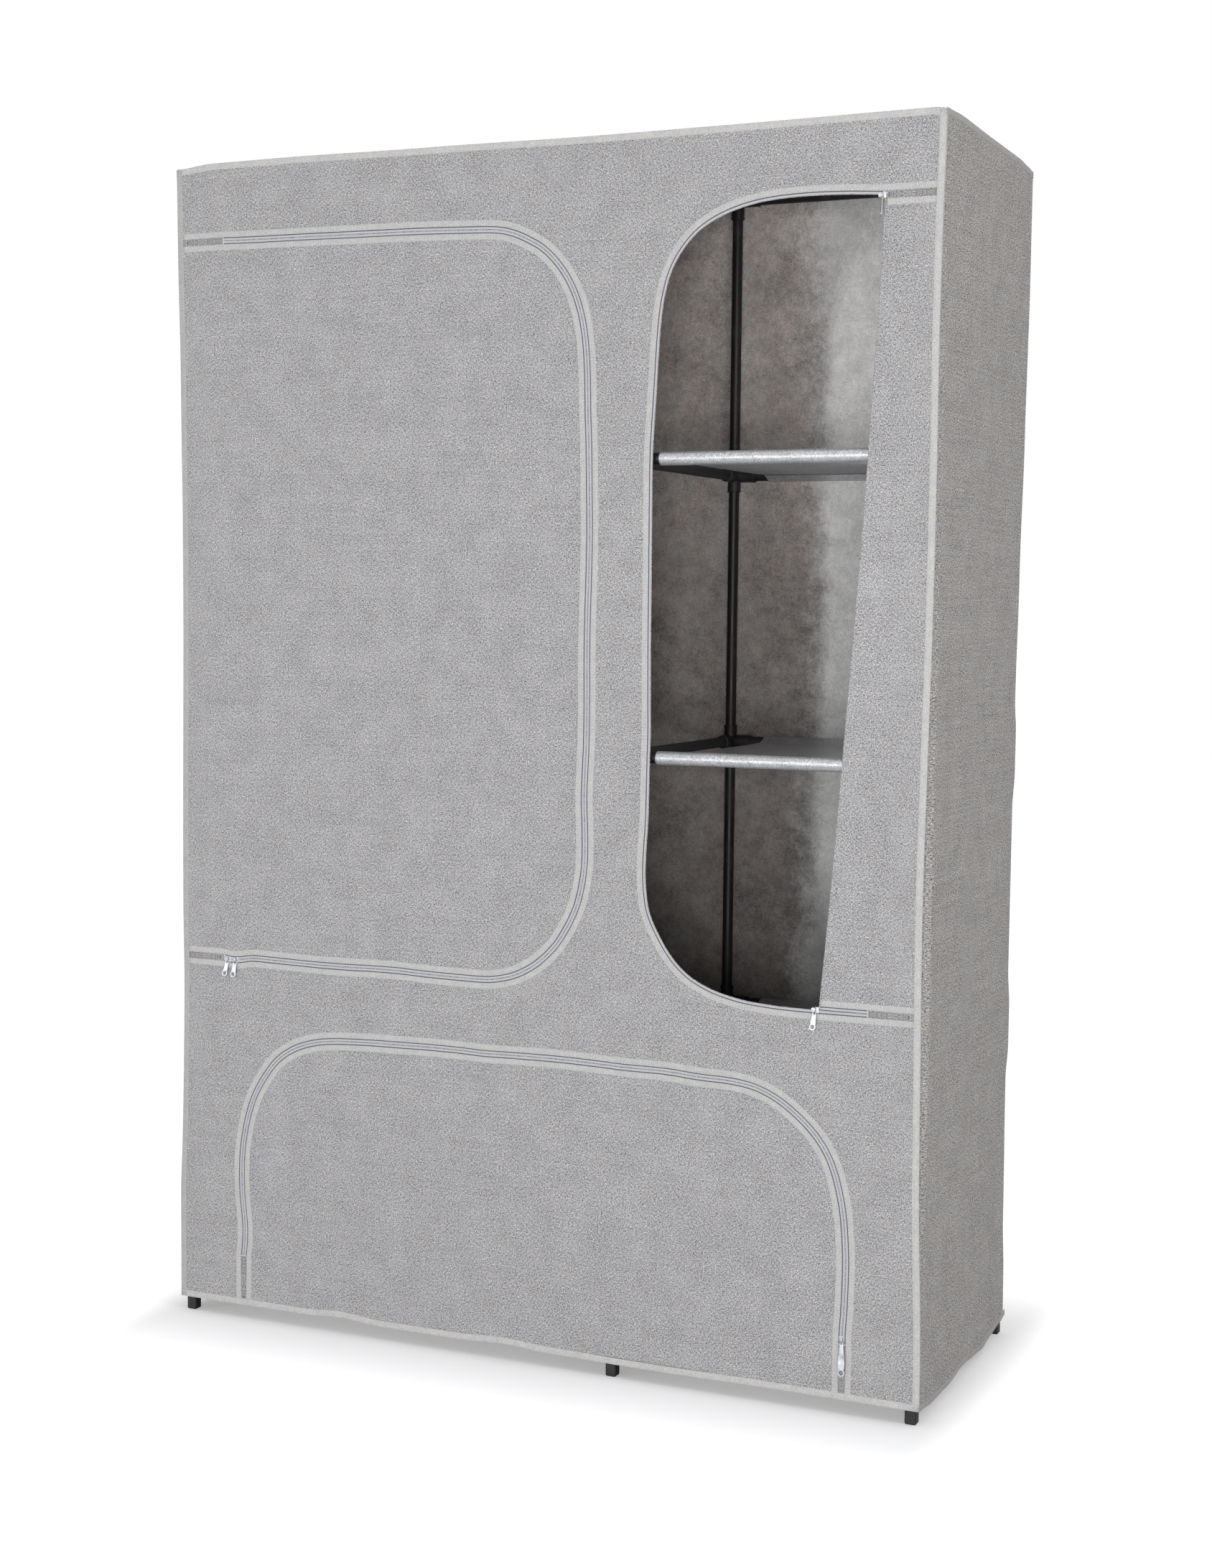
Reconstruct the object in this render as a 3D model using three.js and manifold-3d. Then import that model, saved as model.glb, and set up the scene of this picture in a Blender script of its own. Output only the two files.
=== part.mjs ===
// Portable fabric wardrobe: a plugged tube frame under a bound cloth cover with three zipped doors.
// Millimetres, +Z up, front towards -Y. Inside the assembly x runs from the cover's left face,
// y from the middle of its depth and z from the floor; the last lines centre it on the origin.
import * as THREE from 'three';
import { mergeVertices } from 'three/addons/utils/BufferGeometryUtils.js';
import Module from 'manifold-3d';

const wasm = await Module();
wasm.setup();

// Cover
const coverWidth = 1190;
const coverDepth = 460;
const coverHeight = 1750;
const hemHeight = 22;
const clothThickness = 1;
const bindingRise = 0.4;
const bindingWidth = 9.5;
const seamGap = 0.3;
const cutOverrun = 5;

// Frame
const tubeRadius = 8;
const tubeWall = 0.5;
const postInset = 14;
const rightBayWidth = 445;
const baseLevel = 62;
const levelPitch = 414.5;
const topLevelDrop = 22;
const socketRadius = 10.35;
const socketFit = 0.3;
const sleeveFit = 0.5;
const socketReach = 25;
const topSocketReach = 28;
const armReach = 35;
const armFloor = 12.7;
const footWidth = 16.5;
const footCorner = 3;
const footHeight = 44;
const footFloor = 3;
const footChamfer = 1;
const footHoleRadius = 3;
const clipWidth = 26;

// Shelves
const shelfInset = 59;
const shelfCloth = 1;

// Zipped openings
const zipTapeHalf = 5;
const zipBandWidth = 8.75;
const hingeInset = 72;
const sideZipRise = 108;
const leftZipInset = 109;
const leftZipDrop = 9;
const leftZipToPost = 45;
const leftZipCorner = 140;
const rightZipInset = 108;
const rightZipToPost = 57;
const rightZipTopCorner = 200;
const rightZipBottomCorner = 185;
const bottomZipTop = 450;
const bottomZipLeftInset = 116;
const bottomZipRightInset = 110;
const bottomZipLeftCorner = 142;
const bottomZipRightCorner = 185;
const bottomHingeRise = 12;

// Slack of the hanging side panels, and the tucked right door's fold as insets from the right face
const sideFoldDepth = 2.4;
const sideFoldCount = 3;
const sideHemSag = 8;
const tuckTopInset = 83;
const tuckBottomInset = 151;
const tuckBow = 7;
const tuckBend = 1.15;
const tuckEndInset = 79;

// Zip sliders and pulls
const sliderLength = 11;
const sliderWidth = 8.5;
const sliderTail = 5.6;
const sliderCorner = 1.2;
const sliderPlate = 1.2;
const bridgeStrap = 0.8;
const bridgeWidth = 2.4;
const bridgeLength = 6.8;
const bridgeClear = 1.8;
const pullThickness = 1;
const pullBar = 1.2;
const pullEyeLength = 3.8;
const pullEyeWidth = 3.4;
const pullNeck = 5.6;
const pullWaist = 7.6;
const pullRingRadius = 4.6;
const pullHoleRadius = 2.7;
const ringStart = Math.PI / 5;
const shortPull = 27;
const longPull = 50;
const leftEndInset = 86;
const leftLeadInset = 107;
const rightTopInset = 84;
const rightBottomInset = 157;
const bottomSliderRise = 87;

// Facet counts: steps are counted on a quarter circle
const tubeSides = 10;
const sleeveSides = 12;
const cornerSteps = 8;
const pullSteps = 3;
const weldTolerance = 1e-4;

const halfDepth = coverDepth / 2;
const frontFace = -halfDepth;
const postRow = halfDepth - postInset;
const middlePost = coverWidth - postInset - rightBayWidth;
const postPlaces = { left: postInset, middle: middlePost, right: coverWidth - postInset };
const rowPlaces = { front: -postRow, rear: postRow };
const levels = {
  base: baseLevel,
  low: baseLevel + levelPitch,
  middle: baseLevel + 2 * levelPitch,
  upper: baseLevel + 3 * levelPitch,
  top: coverHeight - topLevelDrop,
};

const wardrobe = new THREE.Group();
const finishes = {
  tube: { color: 0x17181a, roughness: 0.45, metalness: 0.2 },
  cloth: { color: 0xabacaf, roughness: 0.95, metalness: 0 },
  shelf: { color: 0xb9bbbe, roughness: 0.6, metalness: 0 },
  zip: { color: 0xc9ced3, roughness: 0.3, metalness: 0.9 },
};

function addPiece(name, geometry, finish) {
  const mesh = new THREE.Mesh(geometry, new THREE.MeshStandardMaterial(finishes[finish]));
  mesh.name = name;
  wardrobe.add(mesh);
}

// A closed geometry becomes a solid, and a solid becomes a geometry again.
function solidOf(geometry) {
  const bare = geometry.index ? geometry.toNonIndexed() : geometry.clone();
  bare.deleteAttribute('uv');
  bare.deleteAttribute('normal');
  const merged = mergeVertices(bare, weldTolerance);
  return new wasm.Manifold(new wasm.Mesh({
    numProp: 3,
    vertProperties: new Float32Array(merged.attributes.position.array),
    triVerts: new Uint32Array(merged.index.array),
  }));
}

function geometryOf(solid) {
  const mesh = solid.getMesh();
  const geometry = new THREE.BufferGeometry();
  geometry.setAttribute('position', new THREE.BufferAttribute(mesh.vertProperties, 3));
  geometry.setIndex(new THREE.BufferAttribute(mesh.triVerts, 1));
  return geometry;
}

// An extrusion's own z is laid along x, or a drawing in x and y is stood up in x and z.
const alongX = (geometry) => geometry.rotateY(Math.PI / 2);
const upright = (geometry) => geometry.rotateX(Math.PI / 2);

function circlePath(radius, Kind = THREE.Path) {
  return new Kind().absarc(0, 0, radius, 0, 2 * Math.PI, false);
}

// A round bar, or a pipe with a wall, from the origin along +z
function bar(radius, length, bore = 0) {
  const section = circlePath(radius, THREE.Shape);
  if (bore > 0) section.holes.push(circlePath(bore));
  return new THREE.ExtrudeGeometry(section, {
    depth: length,
    bevelEnabled: false,
    curveSegments: tubeSides / 2,
  });
}

// A drawing in x and z, thickened along y from its front face.
function plate(shape, front, thickness, steps = cornerSteps) {
  const geometry = new THREE.ExtrudeGeometry(shape, {
    depth: thickness,
    bevelEnabled: false,
    curveSegments: steps / 2,
  });
  return upright(geometry).translate(0, front + thickness, 0);
}

function rectangle(left, right, low, high) {
  return new THREE.Shape([
    new THREE.Vector2(left, low),
    new THREE.Vector2(right, low),
    new THREE.Vector2(right, high),
    new THREE.Vector2(left, high),
  ]);
}

// Frame: tubes, which start and end a fit clearance from the floors of the sockets that hold them
const tubeSeat = armFloor + socketFit;

function pipe(length) {
  return alongX(bar(tubeRadius, length, tubeRadius - tubeWall));
}

function addDepthTube(name, place, level) {
  const reach = postRow - tubeSeat;
  addPiece(name, pipe(2 * reach).rotateZ(Math.PI / 2).translate(place, -reach, level), 'tube');
}

function addWidthTube(name, from, to, row, level) {
  addPiece(name, pipe(to - from - 2 * tubeSeat).translate(from + tubeSeat, row, level), 'tube');
}

// Frame: uprights, each with its connectors and its foot cap

function roundedSquare(width, corner) {
  const half = width / 2;
  const reach = half - corner;
  const shape = new THREE.Shape();
  shape.absarc(reach, reach, corner, 0, Math.PI / 2, false);
  shape.absarc(-reach, reach, corner, Math.PI / 2, Math.PI, false);
  shape.absarc(-reach, -reach, corner, Math.PI, 1.5 * Math.PI, false);
  shape.absarc(reach, -reach, corner, 1.5 * Math.PI, 2 * Math.PI, false);
  return shape;
}

function footCap() {
  return new THREE.ExtrudeGeometry(roundedSquare(footWidth, footCorner), {
    depth: footHeight - 2 * footChamfer,
    bevelEnabled: true,
    bevelThickness: footChamfer,
    bevelSize: footChamfer,
    bevelOffset: -footChamfer,
    bevelSegments: 1,
    curveSegments: 2,
  }).translate(0, 0, footChamfer);
}

function postBody() {
  const profile = [new THREE.Vector2(0, footChamfer), new THREE.Vector2(tubeRadius, footChamfer)];
  for (const level of Object.values(levels)) {
    const isTop = level === levels.top;
    const low = level - (isTop ? topSocketReach : socketReach);
    const high = level + (isTop ? socketRadius : socketReach);
    profile.push(new THREE.Vector2(tubeRadius, low), new THREE.Vector2(socketRadius, low));
    profile.push(new THREE.Vector2(socketRadius, high), new THREE.Vector2(tubeRadius, high));
  }
  profile.push(new THREE.Vector2(0, levels.top + socketRadius));
  return upright(new THREE.LatheGeometry(profile, tubeSides));
}

// An arm points along x (turn 0 or half a turn) or along y (a quarter turn either way).
function armPiece(radius, from, to, turn, level) {
  return alongX(bar(radius, to - from)).translate(from, 0, 0).rotateZ(turn).translate(0, 0, level);
}

function post(arms) {
  let body = solidOf(postBody()).add(solidOf(footCap()));
  for (const { turn, level } of arms) {
    body = body.add(solidOf(armPiece(socketRadius, 0, armReach, turn, level)));
  }
  const bore = tubeRadius + socketFit;
  for (const { turn, level } of arms) {
    body = body.subtract(solidOf(armPiece(bore, armFloor, armReach + cutOverrun, turn, level)));
  }
  const core = bar(tubeRadius - tubeWall, levels.top - footFloor).translate(0, 0, footFloor);
  const drain = bar(footHoleRadius, footFloor + 2 * cutOverrun).translate(0, 0, -cutOverrun);
  return body.subtract(solidOf(core)).subtract(solidOf(drain));
}

// Where each side has a depth tube, and where each bay has a front and a rear width tube
const depthTubeLevels = {
  left: ['base', 'low', 'top'],
  middle: ['base', 'low', 'middle', 'upper', 'top'],
  right: ['base', 'low', 'middle', 'upper', 'top'],
};
const bays = {
  left: { from: 'left', to: 'middle', levels: ['base', 'low', 'top'] },
  right: { from: 'middle', to: 'right', levels: ['base', 'low', 'middle', 'upper', 'top'] },
};

for (const [side, place] of Object.entries(postPlaces)) {
  for (const [row, y] of Object.entries(rowPlaces)) {
    const inward = row === 'front' ? Math.PI / 2 : -Math.PI / 2;
    const arms = depthTubeLevels[side].map((key) => ({ turn: inward, level: levels[key] }));
    for (const bay of Object.values(bays)) {
      if (bay.from === side) arms.push(...bay.levels.map((key) => ({ turn: 0, level: levels[key] })));
      if (bay.to === side) arms.push(...bay.levels.map((key) => ({ turn: Math.PI, level: levels[key] })));
    }
    addPiece(`post_${side}_${row}`, geometryOf(post(arms)).translate(place, y, 0), 'tube');
  }
  for (const key of depthTubeLevels[side]) {
    addDepthTube(`depth_tube_${side}_${key}`, place, levels[key]);
  }
}

for (const [name, bay] of Object.entries(bays)) {
  for (const key of bay.levels) {
    for (const [row, y] of Object.entries(rowPlaces)) {
      const from = postPlaces[bay.from];
      const to = postPlaces[bay.to];
      addWidthTube(`width_tube_${name}_${key}_${row}`, from, to, y, levels[key]);
    }
  }
}

// Hanging rail: a tube with a saddle clip round the depth tube at each end
function hangingRail(from, to) {
  const acrossAt = (place, radius, width) => solidOf(
    alongX(bar(radius, width)).rotateZ(Math.PI / 2).translate(place, -width / 2, 0),
  );
  const alongAt = (place, radius, length) => solidOf(alongX(bar(radius, length)).translate(place, 0, 0));
  let rail = alongAt(from, tubeRadius, to - from);
  rail = rail.add(alongAt(from, socketRadius, armReach)).add(alongAt(to - armReach, socketRadius, armReach));
  rail = rail.add(acrossAt(from, socketRadius, clipWidth)).add(acrossAt(to, socketRadius, clipWidth));
  rail = rail.subtract(alongAt(from, tubeRadius - tubeWall, to - from));
  for (const place of [from, to]) {
    rail = rail.subtract(acrossAt(place, tubeRadius + socketFit, clipWidth + cutOverrun));
  }
  return rail;
}

addPiece(
  'hanging_rail',
  geometryOf(hangingRail(postPlaces.left, postPlaces.middle)).translate(0, 0, levels.top),
  'tube',
);

// Shelves: one cloth with a sleeve round the front tube and a sleeve round the rear tube

const sleeveInner = tubeRadius + sleeveFit;
const sleeveOuter = sleeveInner + shelfCloth;

// Drawn across the depth: x is the depth and y the height above the tubes' centres.
function shelfSection() {
  const meet = Math.asin(sleeveInner / sleeveOuter);
  const section = new THREE.Shape();
  section.absarc(-postRow, 0, sleeveOuter, meet, Math.PI / 2, true);
  section.absarc(postRow, 0, sleeveOuter, Math.PI / 2, Math.PI - meet, true);
  for (const row of [-postRow, postRow]) {
    section.holes.push(new THREE.Path().absarc(row, 0, sleeveInner, 0, 2 * Math.PI, false));
  }
  return section;
}

function addShelf(name, bay, level) {
  const from = postPlaces[bay.from] + shelfInset;
  const length = postPlaces[bay.to] - shelfInset - from;
  const geometry = new THREE.ExtrudeGeometry(shelfSection(), {
    depth: length,
    bevelEnabled: false,
    curveSegments: sleeveSides / 2,
  });
  addPiece(name, geometry.rotateX(Math.PI / 2).rotateZ(Math.PI / 2).translate(from, 0, level), 'shelf');
}

addShelf('shelf_left_base', bays.left, levels.base);
addShelf('shelf_left_low', bays.left, levels.low);
addShelf('shelf_right_base', bays.right, levels.base);
addShelf('shelf_right_low', bays.right, levels.low);
addShelf('shelf_right_middle', bays.right, levels.middle);
addShelf('shelf_right_upper', bays.right, levels.upper);

// Openings, drawn along the zip's centre line; a positive inset lies inside the door.
// They run past the cover's edge, or past the hem, on the side where the door is hinged.
const sideZipBottom = bottomZipTop + sideZipRise;
const leftZipTop = coverHeight - leftZipInset;
const rightZipTop = coverHeight - rightZipInset;
const leftZipStile = middlePost - leftZipToPost;
const rightZipStile = middlePost + rightZipToPost;
const bottomZipRight = coverWidth - bottomZipRightInset;
const bottomHinge = hemHeight + bottomHingeRise;

function leftOpening(inset) {
  const shape = new THREE.Shape();
  const right = leftZipStile - inset;
  const low = sideZipBottom + inset;
  const radius = leftZipCorner - inset;
  const slope = leftZipDrop / (leftZipStile - hingeInset);
  const topAt = (x) => leftZipTop - inset - slope * (x - hingeInset);
  shape.moveTo(-cutOverrun, low);
  shape.lineTo(right - radius, low);
  shape.absarc(right - radius, low + radius, radius, -Math.PI / 2, 0, false);
  shape.absarc(right - radius, topAt(right - radius) - radius, radius, 0, Math.PI / 2, false);
  shape.lineTo(-cutOverrun, topAt(-cutOverrun));
  return shape;
}

function rightOpening(inset) {
  const shape = new THREE.Shape();
  const left = rightZipStile + inset;
  const low = sideZipBottom + inset;
  const high = rightZipTop - inset;
  const topRadius = rightZipTopCorner - inset;
  const bottomRadius = rightZipBottomCorner - inset;
  shape.moveTo(coverWidth + cutOverrun, high);
  shape.lineTo(left + topRadius, high);
  shape.absarc(left + topRadius, high - topRadius, topRadius, Math.PI / 2, Math.PI, false);
  shape.absarc(left + bottomRadius, low + bottomRadius, bottomRadius, Math.PI, 1.5 * Math.PI, false);
  shape.lineTo(coverWidth + cutOverrun, low);
  return shape;
}

function bottomOpening(inset) {
  const shape = new THREE.Shape();
  const left = bottomZipLeftInset + inset;
  const right = bottomZipRight - inset;
  const high = bottomZipTop - inset;
  const leftRadius = bottomZipLeftCorner - inset;
  const rightRadius = bottomZipRightCorner - inset;
  shape.moveTo(left, hemHeight - cutOverrun);
  shape.lineTo(right, hemHeight - cutOverrun);
  shape.absarc(right - rightRadius, high - rightRadius, rightRadius, 0, Math.PI / 2, false);
  shape.absarc(left + leftRadius, high - leftRadius, leftRadius, Math.PI / 2, Math.PI, false);
  return shape;
}

const openings = {
  left: { outline: leftOpening, field: rectangle(hingeInset, coverWidth, 0, coverHeight) },
  right: { outline: rightOpening, field: rectangle(0, coverWidth - hingeInset, 0, coverHeight) },
  bottom: { outline: bottomOpening, field: rectangle(0, coverWidth, bottomHinge, coverHeight) },
};

// A sheet on the front (side -1) or the back (side 1) of the cover, standing proud of the cloth by rise.
function facePlate(shape, side, rise) {
  const inner = side * (halfDepth - clothThickness);
  const outer = side * (halfDepth + rise);
  return solidOf(plate(shape, Math.min(inner, outer), Math.abs(outer - inner)));
}

function faceCutter(shape, side) {
  const depth = clothThickness + 2 * cutOverrun;
  return solidOf(plate(shape, side * halfDepth - depth / 2, depth));
}

// The pair of bindings that follow one zip, on both sides of its tapes
function zipBindings(outline) {
  const outer = zipTapeHalf + zipBandWidth;
  const outside = facePlate(outline(-outer), -1, bindingRise).subtract(faceCutter(outline(-zipTapeHalf), -1));
  const inside = facePlate(outline(zipTapeHalf), -1, bindingRise).subtract(faceCutter(outline(outer), -1));
  return outside.add(inside);
}

// A whole face of the cover: the cloth with a binding round its four edges
function boundFace(side) {
  const right = coverWidth - bindingWidth;
  const face = rectangle(0, coverWidth, hemHeight, coverHeight);
  const field = rectangle(bindingWidth, right, hemHeight + bindingWidth, coverHeight - bindingWidth);
  const binding = facePlate(face, side, bindingRise).subtract(faceCutter(field, side));
  return facePlate(face, side, 0).add(binding);
}

function frontPanel() {
  const face = rectangle(0, coverWidth, hemHeight, coverHeight);
  let panel = boundFace(-1);
  for (const { outline } of Object.values(openings)) {
    panel = panel.add(zipBindings(outline).intersect(faceCutter(face, -1)));
  }
  for (const { outline, field } of Object.values(openings)) {
    panel = panel.subtract(faceCutter(outline(-seamGap / 2), -1).intersect(faceCutter(field, -1)));
  }
  return panel;
}

// A flat door is the cloth inside its zip, up to the line where it folds.
function flatDoor(outline, field) {
  const region = faceCutter(outline(seamGap / 2), -1);
  return facePlate(field, -1, 0).intersect(region).add(
    zipBindings(outline).intersect(region).intersect(faceCutter(field, -1)),
  );
}

const leftDoorField = rectangle(hingeInset + seamGap, coverWidth, 0, coverHeight);
const bottomDoorField = rectangle(0, coverWidth, bottomHinge + seamGap, coverHeight);
addPiece('cover_front', geometryOf(frontPanel()), 'cloth');
addPiece('cover_back', geometryOf(boundFace(1)), 'cloth');
addPiece('left_door', geometryOf(flatDoor(leftOpening, leftDoorField)), 'cloth');
addPiece('bottom_door', geometryOf(flatDoor(bottomOpening, bottomDoorField)), 'cloth');

// The roof lies on the top connectors, between the four upright panels.
const edgeInset = clothThickness + seamGap;
const roofHeight = levels.top + socketRadius + seamGap;
addPiece(
  'cover_roof',
  new THREE.BoxGeometry(coverWidth - 2 * edgeInset, coverDepth - 2 * edgeInset, clothThickness)
    .translate(coverWidth / 2, 0, roofHeight + clothThickness / 2),
  'cloth',
);

// Cloth with folds: a grid of columns and rows with a front and a back skin and closed edges.
// pointAt(column, row) gives the middle surface, its outward direction and its two half thicknesses.
function foldedCloth(columns, rows, pointAt) {
  const positions = [];
  const stride = (columns + 1) * (rows + 1);
  for (const skin of [0, 1]) {
    for (let row = 0; row <= rows; row += 1) {
      for (let column = 0; column <= columns; column += 1) {
        const { middle, outward, front, back } = pointAt(column, row);
        const reach = skin === 0 ? front : -back;
        positions.push(...middle.clone().addScaledVector(outward, reach).toArray());
      }
    }
  }
  const at = (skin, column, row) => skin * stride + row * (columns + 1) + column;
  const faces = [];
  const quad = (a, b, c, d) => faces.push(a, b, c, a, c, d);
  for (let row = 0; row < rows; row += 1) {
    for (let column = 0; column < columns; column += 1) {
      quad(at(0, column, row), at(0, column + 1, row), at(0, column + 1, row + 1), at(0, column, row + 1));
      quad(at(1, column, row), at(1, column, row + 1), at(1, column + 1, row + 1), at(1, column + 1, row));
    }
  }
  for (let column = 0; column < columns; column += 1) {
    quad(at(0, column, 0), at(1, column, 0), at(1, column + 1, 0), at(0, column + 1, 0));
    quad(at(0, column, rows), at(0, column + 1, rows), at(1, column + 1, rows), at(1, column, rows));
  }
  for (let row = 0; row < rows; row += 1) {
    quad(at(0, 0, row), at(0, 0, row + 1), at(1, 0, row + 1), at(1, 0, row));
    quad(at(0, columns, row), at(1, columns, row), at(1, columns, row + 1), at(0, columns, row + 1));
  }
  const geometry = new THREE.BufferGeometry();
  geometry.setAttribute('position', new THREE.Float32BufferAttribute(positions, 3));
  geometry.setIndex(faces);
  return geometry;
}

// Heights of the grid's rows, as distances from the lower edge: a plain field between two raised bands,
// each of which starts at the given offset from its edge.
function bandedRows(height, offset, width, fieldRows) {
  const band = [offset, offset + bindingRise, offset + width - bindingRise, offset + width];
  const lower = offset > 0 ? [0, ...band] : band;
  const upper = lower.map((distance) => height - distance).reverse();
  const from = lower[lower.length - 1];
  const step = (upper[0] - from) / fieldRows;
  const field = Array.from({ length: fieldRows - 1 }, (_, index) => from + step * (index + 1));
  return [...lower, ...field, ...upper];
}

function inBand(distance, height, offset, width) {
  const fromEdge = Math.min(distance, height - distance);
  const low = offset > 0 ? offset + bindingRise : offset;
  return fromEdge >= low && fromEdge <= offset + width - bindingRise;
}

// Side panels: bound at the roof and at the hem, with soft upright folds and a hem that dips twice
const sideColumns = 12;
const sideFieldRows = 4;

function sidePanel(side) {
  const span = coverDepth - 2 * edgeInset;
  const height = coverHeight - hemHeight;
  const rows = bandedRows(height, 0, bindingWidth, sideFieldRows);
  return foldedCloth(sideColumns, rows.length - 1, (column, row) => {
    const across = column / sideColumns;
    const up = rows[row] / height;
    const slack = Math.sin(Math.PI * up) * Math.sin(Math.PI * sideFoldCount * across) ** 2;
    const dip = sideHemSag * Math.abs(Math.sin(2 * Math.PI * across)) * (1 - up);
    const outerFace = (coverWidth - clothThickness) / 2 - sideFoldDepth * slack;
    return {
      middle: new THREE.Vector3(side * outerFace, side * span * (across - 1 / 2), hemHeight + rows[row] - dip),
      outward: new THREE.Vector3(side, 0, 0),
      front: clothThickness / 2 + (inBand(rows[row], height, 0, bindingWidth) ? bindingRise : 0),
      back: clothThickness / 2,
    };
  });
}

addPiece('cover_right_side', sidePanel(1).translate(coverWidth / 2, 0, 0), 'cloth');
addPiece('cover_left_side', sidePanel(-1).translate(coverWidth / 2, 0, 0), 'cloth');

// Right door: open, zipped only along its lower edge's end, with the cloth folded back behind itself.
// Its section runs from the tucked edge, round the soft fold, to the line where the door is hinged.
const tuckColumns = 1;
const bendColumns = 4;
const flapColumns = 2;
const tuckFieldRows = 6;

function tuckedDoor() {
  const low = sideZipBottom + seamGap / 2;
  const height = rightZipTop - seamGap / 2 - low;
  const rows = bandedRows(height, zipTapeHalf, zipBandWidth, tuckFieldRows);
  const hinge = coverWidth - hingeInset - seamGap;
  const foldLow = coverWidth - tuckBottomInset;
  const foldRun = tuckBottomInset - tuckTopInset;
  const tuckedEdge = coverWidth - tuckEndInset;
  const outerLayer = frontFace + clothThickness / 2;
  const columns = tuckColumns + bendColumns + flapColumns;
  return foldedCloth(columns, rows.length - 1, (column, row) => {
    const up = rows[row] / height;
    const foldEdge = foldLow + foldRun * up + tuckBow * Math.sin(Math.PI * up);
    const bendCentre = foldEdge + clothThickness / 2 + tuckBend;
    const onFlap = column > tuckColumns + bendColumns;
    const raised = onFlap && inBand(rows[row], height, zipTapeHalf, zipBandWidth);
    const turn = Math.PI * THREE.MathUtils.clamp((column - tuckColumns) / bendColumns, 0, 1);
    let x = bendCentre - tuckBend * Math.sin(turn);
    if (column < tuckColumns) x = THREE.MathUtils.lerp(tuckedEdge, bendCentre, column / tuckColumns);
    if (onFlap) x = THREE.MathUtils.lerp(hinge, bendCentre, (columns - column) / flapColumns);
    return {
      middle: new THREE.Vector3(x, outerLayer + tuckBend * (1 + Math.cos(turn)), low + rows[row]),
      outward: new THREE.Vector3(-Math.sin(turn), Math.cos(turn), 0),
      front: clothThickness / 2 + (raised ? bindingRise : 0),
      back: clothThickness / 2,
    };
  });
}

addPiece('right_door', tuckedDoor(), 'cloth');

// Zip sliders: a tapered plate over the tapes with a bridge on its face
const sliderBack = frontFace - bindingRise - seamGap;
const sliderFront = sliderBack - sliderPlate;

function sliderOutline() {
  const half = sliderLength / 2;
  const tail = sliderTail / 2;
  const shoulder = sliderWidth / 2;
  const right = [
    [-half, tail - sliderCorner],
    [sliderCorner - half, tail],
    [0, shoulder],
    [half - sliderCorner, shoulder],
    [half, shoulder - sliderCorner],
  ];
  const left = right.map(([along, across]) => [along, -across]).reverse();
  return [...right, ...left];
}

function bridge() {
  const reach = bridgeLength / 2;
  const rise = bridgeClear + bridgeStrap;
  const outline = [
    [-reach, -bridgeStrap / 2],
    [-reach, rise - bridgeStrap],
    [bridgeStrap - reach, rise],
    [reach - bridgeStrap, rise],
    [reach, rise - bridgeStrap],
    [reach, -bridgeStrap / 2],
    [reach - bridgeStrap, -bridgeStrap / 2],
    [reach - bridgeStrap, bridgeClear],
    [bridgeStrap - reach, bridgeClear],
    [bridgeStrap - reach, -bridgeStrap / 2],
  ];
  const shape = new THREE.Shape(outline.map(([height, forward]) => new THREE.Vector2(-height, -forward)));
  return alongX(new THREE.ExtrudeGeometry(shape, { depth: bridgeWidth, bevelEnabled: false }))
    .translate(-bridgeWidth / 2, sliderFront, 0);
}

function slider(travelsUpright) {
  const points = sliderOutline().map(([along, across]) => (
    travelsUpright ? new THREE.Vector2(across, along) : new THREE.Vector2(along, across)
  ));
  const body = solidOf(plate(new THREE.Shape(points), sliderFront, sliderPlate));
  return body.add(solidOf(bridge()));
}

// Pulls: a flat tab that hangs by its eye from the bridge and widens to a ring
const pivotDrop = bridgeLength / 2 - bridgeStrap - seamGap - pullBar / 2;
const pivotFront = sliderFront - bridgeClear / 2;

function pull(length) {
  const ringDrop = length - pullRingRadius;
  const shape = new THREE.Shape();
  shape.moveTo(-pullNeck / 2, pullBar / 2);
  shape.lineTo(-pullWaist / 2, pullRingRadius - ringDrop);
  shape.absarc(0, -ringDrop, pullRingRadius, Math.PI - ringStart, 2 * Math.PI + ringStart, false);
  shape.lineTo(pullWaist / 2, pullRingRadius - ringDrop);
  shape.lineTo(pullNeck / 2, pullBar / 2);
  const eye = rectangle(-pullEyeWidth / 2, pullEyeWidth / 2, -pullBar / 2 - pullEyeLength, -pullBar / 2);
  shape.holes.push(new THREE.Path(eye.getPoints()));
  shape.holes.push(new THREE.Path().absarc(0, -ringDrop, pullHoleRadius, 0, 2 * Math.PI, false));
  return plate(shape, pivotFront - pullThickness / 2, pullThickness, 4 * pullSteps);
}

// Where each slider is parked on its zip
function addZipEnd(name, place, level, pullLength = shortPull, travelsUpright = false) {
  addPiece(`slider_${name}`, geometryOf(slider(travelsUpright)).translate(place, 0, level), 'zip');
  addPiece(`pull_${name}`, pull(pullLength).translate(place, 0, level - pivotDrop), 'zip');
}

addZipEnd('left_end', leftEndInset, sideZipBottom);
addZipEnd('left_lead', leftLeadInset, sideZipBottom);
addZipEnd('right_top', coverWidth - rightTopInset, rightZipTop);
addZipEnd('right_bottom', coverWidth - rightBottomInset, sideZipBottom);
addZipEnd('bottom', bottomZipRight, hemHeight + bottomSliderRise, longPull, true);

wardrobe.position.x = -coverWidth / 2;

export default wardrobe;
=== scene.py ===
import math

import bmesh
import bpy
from mathutils import Matrix, Vector, kdtree, noise


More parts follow.
